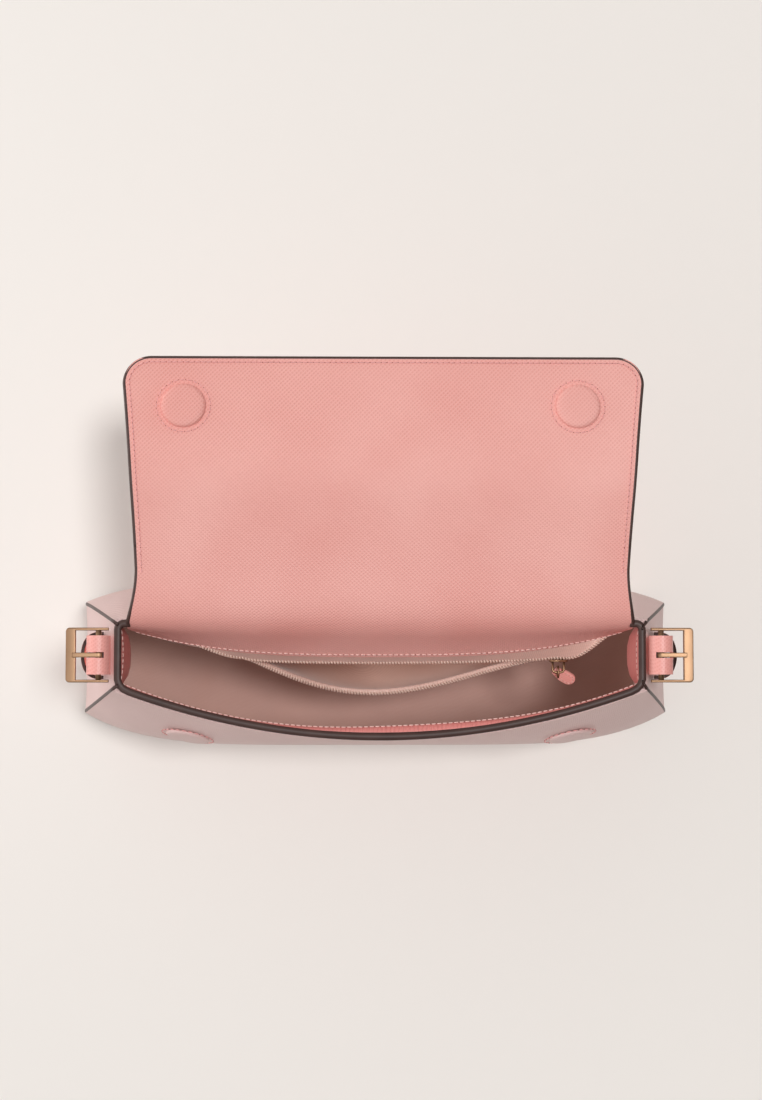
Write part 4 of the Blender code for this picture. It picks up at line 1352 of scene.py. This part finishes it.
def add_flap_root():
    """Leather at the back rim: the lining runs down into the bag as the facing over the zip."""
    rows = spread(0.0, 1.0, 10) + spread(1.0, 2.0, 26)[1:] + spread(2.0, 3.0, 6)[1:]

    def facing_lean(x, z):
        top = rim_back_inside(x)
        return top + (facing_lower_edge(x) - top) * facing_fall(z), z

    def wall_lean(x, z):
        return back_wall(x, z) + CLEAR, z
    inside = rolled(ROOT_HALF_WIDTH, FACING_BOTTOM, ROLL_FOOT, facing_lean, FLAP_HALF, ROLL_BOW)
    lining = skin("flap_lining_root", columns(), rows, inside, FLAP_LINING, ["root_lining_painted_light", "edge"])
    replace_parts(hinges(lining), "back_facing", "flap_hinge_fold")
    outside = rolled(FLAP_HINGE_HALF_WIDTH, OUTER_ROLL_LOW, OUTER_ROLL_FOOT, wall_lean, -FLAP_HALF,
                     OUTER_ROLL_BOW)
    outer = skin("flap_outer_root", columns(), rows[8:], outside, FLAP_OUTER, ["shell", "edge"], 1.0)
    hinges(outer)
    sides = []
    for side, name in SIDES:
        offset = Vector((side * PAINT_OUT, PAINT_OUT, -FLAP_HALF))
        line = [inside(side, part) + offset for part in spread(1.25, 3.0, 60)]
        hinges(sweep("flap_root_paint_" + name, line, PAINT_SECTION, "edge"))
        sides.append([flap_point(side * flap_reach(along, THREAD_INSET), along, FLAP_HALF + CLEAR)
                      for along in spread(ROOT_ROW_START, FLAP_SPLIT, 20)])
    hinges(stitches("flap_root_thread", sides, look="rose_thread"))
    level = FACING_BOTTOM + ZIP_ROW_RISE
    reach = FACING_REACH - ZIP_ROW_END
    edge = [Vector((x, facing_lean(x, level)[0] - CLEAR, level)) for x in spread(-reach, reach, 80)]
    on_bag(stitches("zip_facing_thread", [edge]))


def flap_rows():
    """Lengths from the hinge, close together round the far corners."""
    straight = FLAP_LENGTH - FLAP_CORNER_RADIUS
    radius = FLAP_CORNER_RADIUS - PAINT_INSET
    corner = [straight + radius * sin(turn) for turn in spread(0.0, pi / 2.0, 14)]
    return spread(FLAP_SPLIT, straight, 70) + corner[1:]


def flap_surface(lift):
    def place(share, along):
        return flap_point(share * (flap_reach(along) - PAINT_INSET), along, lift)
    return place


def add_flap():
    """The flap beyond its root: lining, outer leather, painted edge and stitches."""
    lining = skin("flap_lining_leather", columns(), flap_rows(), flap_surface(FLAP_HALF), FLAP_LINING,
                  ["flap_lining"])
    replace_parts(folds(lining), "flap_top_lining", "flap_drop_lining", "flap_front_fold")
    outer = skin("flap_outer_leather", columns(), flap_rows(), flap_surface(-FLAP_HALF), FLAP_OUTER,
                 ["shell"], 1.0)
    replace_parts(folds(outer), "flap_top_outer", "flap_drop_outer")
    border = flap_border(FLAP_SPLIT, BORDER_INSET, 0.0)
    folds(sweep("flap_paint", border, PAINT_SECTION, "edge"))
    row = flap_border(FLAP_SPLIT, THREAD_INSET, FLAP_HALF + CLEAR)
    folds(stitches("flap_thread", [row], look="rose_thread"))
    outer_row = flap_border(FLAP_SPLIT, THREAD_INSET, -FLAP_HALF - CLEAR)
    folds(stitches("flap_outer_thread", [outer_row]))


# Magnets.
COVER_HEIGHT = 0.0019
FRONT_COVER_HEIGHT = 0.0013
COVER_PROFILE = (
    (0.0, 1.0), (0.45, 1.0), (0.72, 0.985), (0.86, 0.92), (0.94, 0.76), (0.985, 0.5),
    (1.0, 0.22), (1.0, -0.1), (0.55, -0.1), (0.0, -0.1),
)
COVER_SIDES = 64
COVER_SINK = 0.00125
COVER_LIFT = 0.0004
MAGNET_DROP = 0.0303
RING_SHARE = 1.19
RING_STITCHES = 25
RING_STITCH = 0.0016
RING_FIT = 0.999


def lathe(name, profile, look, place):
    """Round piece turned from a profile of (radius, height) pairs that starts and ends on the axis."""
    vertices = []
    faces = []
    for k in range(COVER_SIDES):
        turn = 2.0 * pi * k / COVER_SIDES
        for radius, height in profile[1:-1]:
            vertices.append(place @ Vector((radius * cos(turn), radius * sin(turn), height)))
    rings = len(profile) - 2
    for k in range(COVER_SIDES):
        near = k * rings
        after = (k + 1) % COVER_SIDES * rings
        for ring in range(rings - 1):
            faces.append((near + ring, near + ring + 1, after + ring + 1, after + ring))
    faces.append(tuple(k * rings for k in range(COVER_SIDES)))
    faces.append(tuple(k * rings + rings - 1 for k in reversed(range(COVER_SIDES))))
    piece = link_mesh(name, vertices, faces, [look])
    piece.data.set_sharp_from_angle(angle=radians(60.0))
    return piece


def covered_magnet(name, node, look, body, place, tall):
    """Domed leather cover over a magnet, with a ring of stitches round it."""
    profile = [(radius * COVER_RADIUS, height * tall) for radius, height in COVER_PROFILE]
    attach(lathe(name + "_leather", profile, look, place), body, node + "_cover")
    radius = COVER_RADIUS * RING_SHARE
    ring = [place @ Vector((radius * cos(turn), radius * sin(turn), CLEAR))
            for turn in spread(0.0, 2.0 * pi, 100)]
    pitch = 2.0 * pi * COVER_RADIUS * RING_SHARE / RING_STITCHES
    row = stitches(name + "_thread", [ring], pitch * RING_FIT, RING_STITCH, look="rose_thread")
    attach(row, body)


def add_magnets():
    """Covered magnets: two inside the flap, two on the front."""
    angle = FLAP_RISE + FLAP_FOLD
    upward = Vector((0.0, -sin(angle), cos(angle)))
    for side, name in SIDES:
        lowest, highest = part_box("flap_magnet_" + name + "_cover")
        spot = (lowest + highest) / 2.0 - upward * COVER_SINK
        place = Matrix.Translation(spot) @ Matrix.Rotation(angle, 4, "X")
        covered_magnet("flap_closure_" + name, "flap_magnet_" + name, "flap_lining", "flap_drop", place,
                       COVER_HEIGHT)
        x = side * MAGNET_X
        z = HINGE.z - MAGNET_DROP
        across = slope(lambda value: front_wall(value, z), x)
        down = slope(lambda value: front_wall(x, value), z)
        normal = Vector((across, -1.0, down)).normalized()
        place = Matrix.Translation(Vector((x, front_wall(x, z), z)) + normal * COVER_LIFT)
        place = place @ normal.to_track_quat("Z", "X").to_matrix().to_4x4()
        covered_magnet("front_closure_" + name, "front_magnet_" + name, "shell", "bag", place,
                       FRONT_COVER_HEIGHT)


# Strap ends.
LOOP_RADIUS = 0.00495
TAB_LEATHER = 0.0016
TAB_HALF = 0.008
TAB_LENGTH = 0.044
TAB_LOOP_DEPTH = 0.0050
TAB_TURN_END = -38.0
TAB_NECK = ((0.0016, -0.0110), (0.0003, -0.0134))
TAB_FLAT_TOP = -0.0155
SLOT_HALF = 0.0012
TAB_COLUMNS = (-TAB_HALF, -0.0060, -0.0035, -SLOT_HALF, SLOT_HALF, 0.0035, 0.0060, TAB_HALF)
TAB_SLOT = [(3, row) for row in range(26, 49)]
TAB_SEAM_Y = 0.0062
TAB_SEAM_TOP = -0.0165
TAB_SEAM_FOOT = -TAB_LENGTH + 0.002
KEEPER_TOP = -0.0230
KEEPER_TALL = 0.0090
KEEPER_SPAN = 0.0092
KEEPER_RISE = 0.0090
KEEPER_CURVE = 0.6
KEEPER_EDGE = 0.0003
BUCKLE_HALF = 0.0113
BUCKLE_REACH = 0.0134
BUCKLE_TALL = 0.0022
BUCKLE_ARM = 0.0012
BUCKLE_END_BAR = 0.0041
BUCKLE_HEEL = -0.0042
BUCKLE_BEND = 0.0016
BUCKLE_EDGE = 0.00045
BUCKLE_INNER = BUCKLE_HALF - BUCKLE_ARM
BUCKLE_WINDOW = BUCKLE_REACH - BUCKLE_END_BAR
BAR_RADIUS = 0.0012
BAR_HALF = BUCKLE_INNER + 0.0003
PRONG_THICK = 0.0014
PRONG_WIDE = 0.0020
PRONG_GAP = 0.0003
PRONG_TIP = ((-0.0003, -1.0), (0.0, -0.7), (-0.0004, 0.0))


def gusset_lean():
    """Angle of the gusset behind the strap tab, from upright."""
    low_x, low_z = side_point(HEIGHT - TAB_LENGTH)
    return math.atan2(low_x - RIM_HALF_WIDTH, HEIGHT - low_z)


def end_frame(side):
    """Frame at the end of the rim: X outward from the gusset, Z up along it."""
    turn = Matrix.Rotation(-gusset_lean(), 4, "Y")
    if side < 0.0:
        turn = Matrix.Rotation(pi, 4, "Z") @ turn
    return Matrix.Translation((side * RIM_HALF_WIDTH, 0.0, HEIGHT)) @ turn


def tab_path(centre):
    """Middle line of the folded strip: up the gusset, round the bar and down again."""
    half = TAB_LEATHER / 2.0
    inner = centre - LOOP_RADIUS + half
    radius = LOOP_RADIUS - half
    path = [(inner, z) for z in spread(-TAB_LENGTH, -TAB_LOOP_DEPTH, 16)]
    path += arc((centre, -TAB_LOOP_DEPTH), radius, 180.0, TAB_TURN_END, 30)[1:]
    outer = inner + TAB_LEATHER + CLEAR
    path += [(outer + out, z) for out, z in TAB_NECK]
    return path + [(outer, z) for z in spread(TAB_FLAT_TOP, -TAB_LENGTH, 12)]


def add_tab(name, place, centre):
    """Strap tab folded round the buckle's bar, with a slot for the prong."""
    path = tab_path(centre)
    vertices = [place @ Vector((x, y, z)) for x, z in path for y in TAB_COLUMNS]
    faces = grid_faces(len(TAB_COLUMNS), len(path), TAB_SLOT)
    tab = link_mesh("strap_loop_" + name, vertices, faces, ["tab", "edge"])
    thicken(tab, TAB_LEATHER, 0.0, even=False)
    on_bag(settle(tab), "strap_tab_" + name)
    outer = path[-1][0] + TAB_LEATHER / 2.0 + CLEAR
    lines = []
    for y in (-TAB_SEAM_Y, TAB_SEAM_Y):
        lines.append([place @ Vector((outer, y, z)) for z in spread(TAB_SEAM_TOP, TAB_SEAM_FOOT, 10)])
    foot = spread(-TAB_SEAM_Y, TAB_SEAM_Y, 6)
    lines.append([place @ Vector((outer, y, TAB_SEAM_FOOT)) for y in foot])
    on_bag(stitches("strap_loop_thread_" + name, lines))


def add_keeper(name, place, foot):
    """Arched leather loop below the buckle, its cut edges painted."""
    turns = spread(0.0, pi, 28)

    def point(turn, z):
        arch = max(0.0, sin(turn)) ** KEEPER_CURVE
        upright = KEEPER_RISE - math.tan(gusset_lean()) * (KEEPER_TOP - z)
        return place @ Vector((foot + upright * arch, -KEEPER_SPAN * cos(turn), z))
    low = KEEPER_TOP - KEEPER_TALL
    band = skin("strap_keeper_leather_" + name, turns, spread(low, KEEPER_TOP, 6), point, TAB_LEATHER,
                ["tab", "edge"], 0.0, KEEPER_EDGE)
    on_bag(band, "strap_keeper_" + name)


def add_buckle(name, place):
    """Buckle frame with a wide end bar, and the bar it swings on."""
    body = "buckle_" + name
    bend = BUCKLE_BEND
    outline = [(BUCKLE_HEEL, -BUCKLE_HALF)]
    outline += arc((BUCKLE_REACH - bend, bend - BUCKLE_HALF), bend, -90.0, 0.0, 8)
    outline += arc((BUCKLE_REACH - bend, BUCKLE_HALF - bend), bend, 0.0, 90.0, 8)
    outline += [(BUCKLE_HEEL, BUCKLE_HALF), (BUCKLE_HEEL, BUCKLE_INNER), (BUCKLE_WINDOW, BUCKLE_INNER)]
    outline += [(BUCKLE_WINDOW, -BUCKLE_INNER), (BUCKLE_HEEL, -BUCKLE_INNER)]
    ring = plate("buckle_ring_" + name, [outline], BUCKLE_TALL, "gold", place, BUCKLE_EDGE)
    attach(ring, body, "buckle_frame_" + name)
    line = [place @ Vector((0.0, y, 0.0)) for y in spread(-BAR_HALF, BAR_HALF, 4)]
    bar = sweep("buckle_pin_" + name, line, circle(BAR_RADIUS, sides=20), "gold")
    attach(bar, body, "buckle_bar_" + name)


def add_prong(name, place):
    """Prong wrapped round the bar, its tip on the end bar."""
    hole = BAR_RADIUS + PRONG_GAP
    wrap = hole + PRONG_THICK
    top = BUCKLE_TALL / 2.0 + PRONG_GAP + PRONG_THICK
    tip = BUCKLE_WINDOW + BUCKLE_END_BAR / 3.0
    start = math.degrees(math.asin((top - PRONG_THICK) / wrap))
    body = arc((0.0, 0.0), wrap, 90.0, 360.0 + start, 30)
    body += [(tip + x, top + share * PRONG_THICK) for x, share in PRONG_TIP]
    eye = arc((0.0, 0.0), hole, 0.0, 345.0, 23)
    prong = plate("buckle_tongue_" + name, [body, eye], PRONG_WIDE, "gold", place @ UPRIGHT)
    attach(prong, "prong_" + name, "buckle_prong_" + name)


def gusset_bulge():
    """How far the gusset stands out past a straight line behind the strap tab."""
    lean = gusset_lean()
    most = 0.0
    for z in spread(HEIGHT - TAB_LENGTH, HEIGHT, 12):
        x = side_point(z)[0] - RIM_HALF_WIDTH
        most = max(most, x * cos(lean) - (HEIGHT - z) * sin(lean))
    return most


def add_strap_ends():
    """Tab, keeper, buckle and prong at each end of the rim."""
    bulge = gusset_bulge()
    for side, name in SIDES:
        place = end_frame(side)
        add_tab(name, place, LOOP_RADIUS + bulge + GLUE)
        add_keeper(name, place, bulge + GLUE)
        lowest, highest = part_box("buckle_bar_" + name)
        bar = Matrix.Translation((lowest + highest) / 2.0)
        if side < 0.0:
            bar = bar @ Matrix.Rotation(pi, 4, "Z")
        add_buckle(name, bar)
        add_prong(name, bar)


def dress_hidden_nodes():
    """Pieces kept from the frame as they are: the steel discs and the base card."""
    for name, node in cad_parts.items():
        look = "board" if name == "base_board" else "steel"
        node.data.materials.clear()
        node.data.materials.append(LOOKS[look])


# Camera, light and floor.
CAMERA_AT = Vector((-0.018, -0.0086, 0.982))
FOCAL_PIXELS = 2065.0
AIM_PIXELS_RIGHT = 44.0
AIM_PIXELS_UP = 126.0
CAMERA_AIM = Vector((AIM_PIXELS_RIGHT / FOCAL_PIXELS, AIM_PIXELS_UP / FOCAL_PIXELS, -1.0))
CAMERA_LENS = 67.58
CAMERA_SENSOR = 36.0
WORLD_LEVEL = 0.38
WORLD_LEAN = (-0.90, 0.40, 0.0)
SUN_LEVEL = 1.50
SUN_SOFTNESS = radians(10.0)
SUN_FROM = (0.20, 0.05, 1.0)
FRONT_LEVEL = 0.43
FRONT_FROM = (-0.50, -0.38, 1.0)
FILL_WATTS = 2.2
FILL_SIZE = 0.5
FILL_FROM = (-0.80, 0.30, 0.13)
FILL_TO = (-0.1, 0.0, 0.08)
ORIGIN = (0.0, 0.0, 0.0)
FLOOR_CORNERS = [(-3.0, -3.0, 0.0), (3.0, -3.0, 0.0), (3.0, 3.0, 0.0), (-3.0, 3.0, 0.0)]
FLOOR_Z = -0.0004


def add_camera():
    """Camera over the bag, where the photo was taken from."""
    camera = bpy.data.cameras.new("camera")
    camera.lens = CAMERA_LENS
    camera.sensor_width = CAMERA_SENSOR
    holder = add_object("camera", camera)
    back = -CAMERA_AIM.normalized()
    right = Vector((0.0, 1.0, 0.0)).cross(back).normalized()
    up = back.cross(right)
    turn = Matrix((right, up, back)).transposed().to_4x4()
    holder.matrix_world = Matrix.Translation(CAMERA_AT) @ turn
    bpy.context.scene.camera = holder


def aimed(location, target):
    return (Vector(target) - Vector(location)).to_track_quat("-Z", "Y").to_euler()


def add_lamp(name, kind, level, location, target):
    lamp = bpy.data.lights.new(name, kind)
    lamp.energy = level
    holder = add_object(name, lamp)
    holder.location = location
    holder.rotation_euler = aimed(location, target)
    return lamp


def add_light():
    """Soft daylight: a sky lighter on the left, a window overhead and two fills without shadow."""
    scene = bpy.context.scene
    scene.view_settings.view_transform = "Standard"
    world = scene.world or bpy.data.worlds.new("world")
    scene.world = world
    world.use_nodes = True
    sky = world.node_tree.nodes["Background"]
    sky.inputs["Color"].default_value = (*SKY, 1.0)
    lean = add_node(world, "ShaderNodeVectorMath", {1: WORLD_LEAN}, operation="DOT_PRODUCT")
    join(world, add_node(world, "ShaderNodeTexCoord").outputs["Generated"], lean.inputs[0])
    level = scaled(world, lean.outputs["Value"], WORLD_LEVEL, WORLD_LEVEL)
    join(world, level, sky.inputs["Strength"])
    window = add_lamp("window", "SUN", SUN_LEVEL, SUN_FROM, ORIGIN)
    window.angle = SUN_SOFTNESS
    front = add_lamp("front_fill", "SUN", FRONT_LEVEL, FRONT_FROM, ORIGIN)
    front.use_shadow = False
    left = add_lamp("left_fill", "AREA", FILL_WATTS, FILL_FROM, FILL_TO)
    left.size = FILL_SIZE
    left.use_shadow = False


def add_floor():
    floor = link_mesh("floor", FLOOR_CORNERS, [(0, 1, 2, 3)], ["floor"])
    floor.location.z = FLOOR_Z


add_shell()
add_seams()
add_rim()
add_facings()
add_linings()
add_pocket()
add_zip()
add_slider()
add_pull()
add_flap_root()
add_flap()
add_magnets()
add_strap_ends()
dress_hidden_nodes()
add_camera()
add_light()
add_floor()
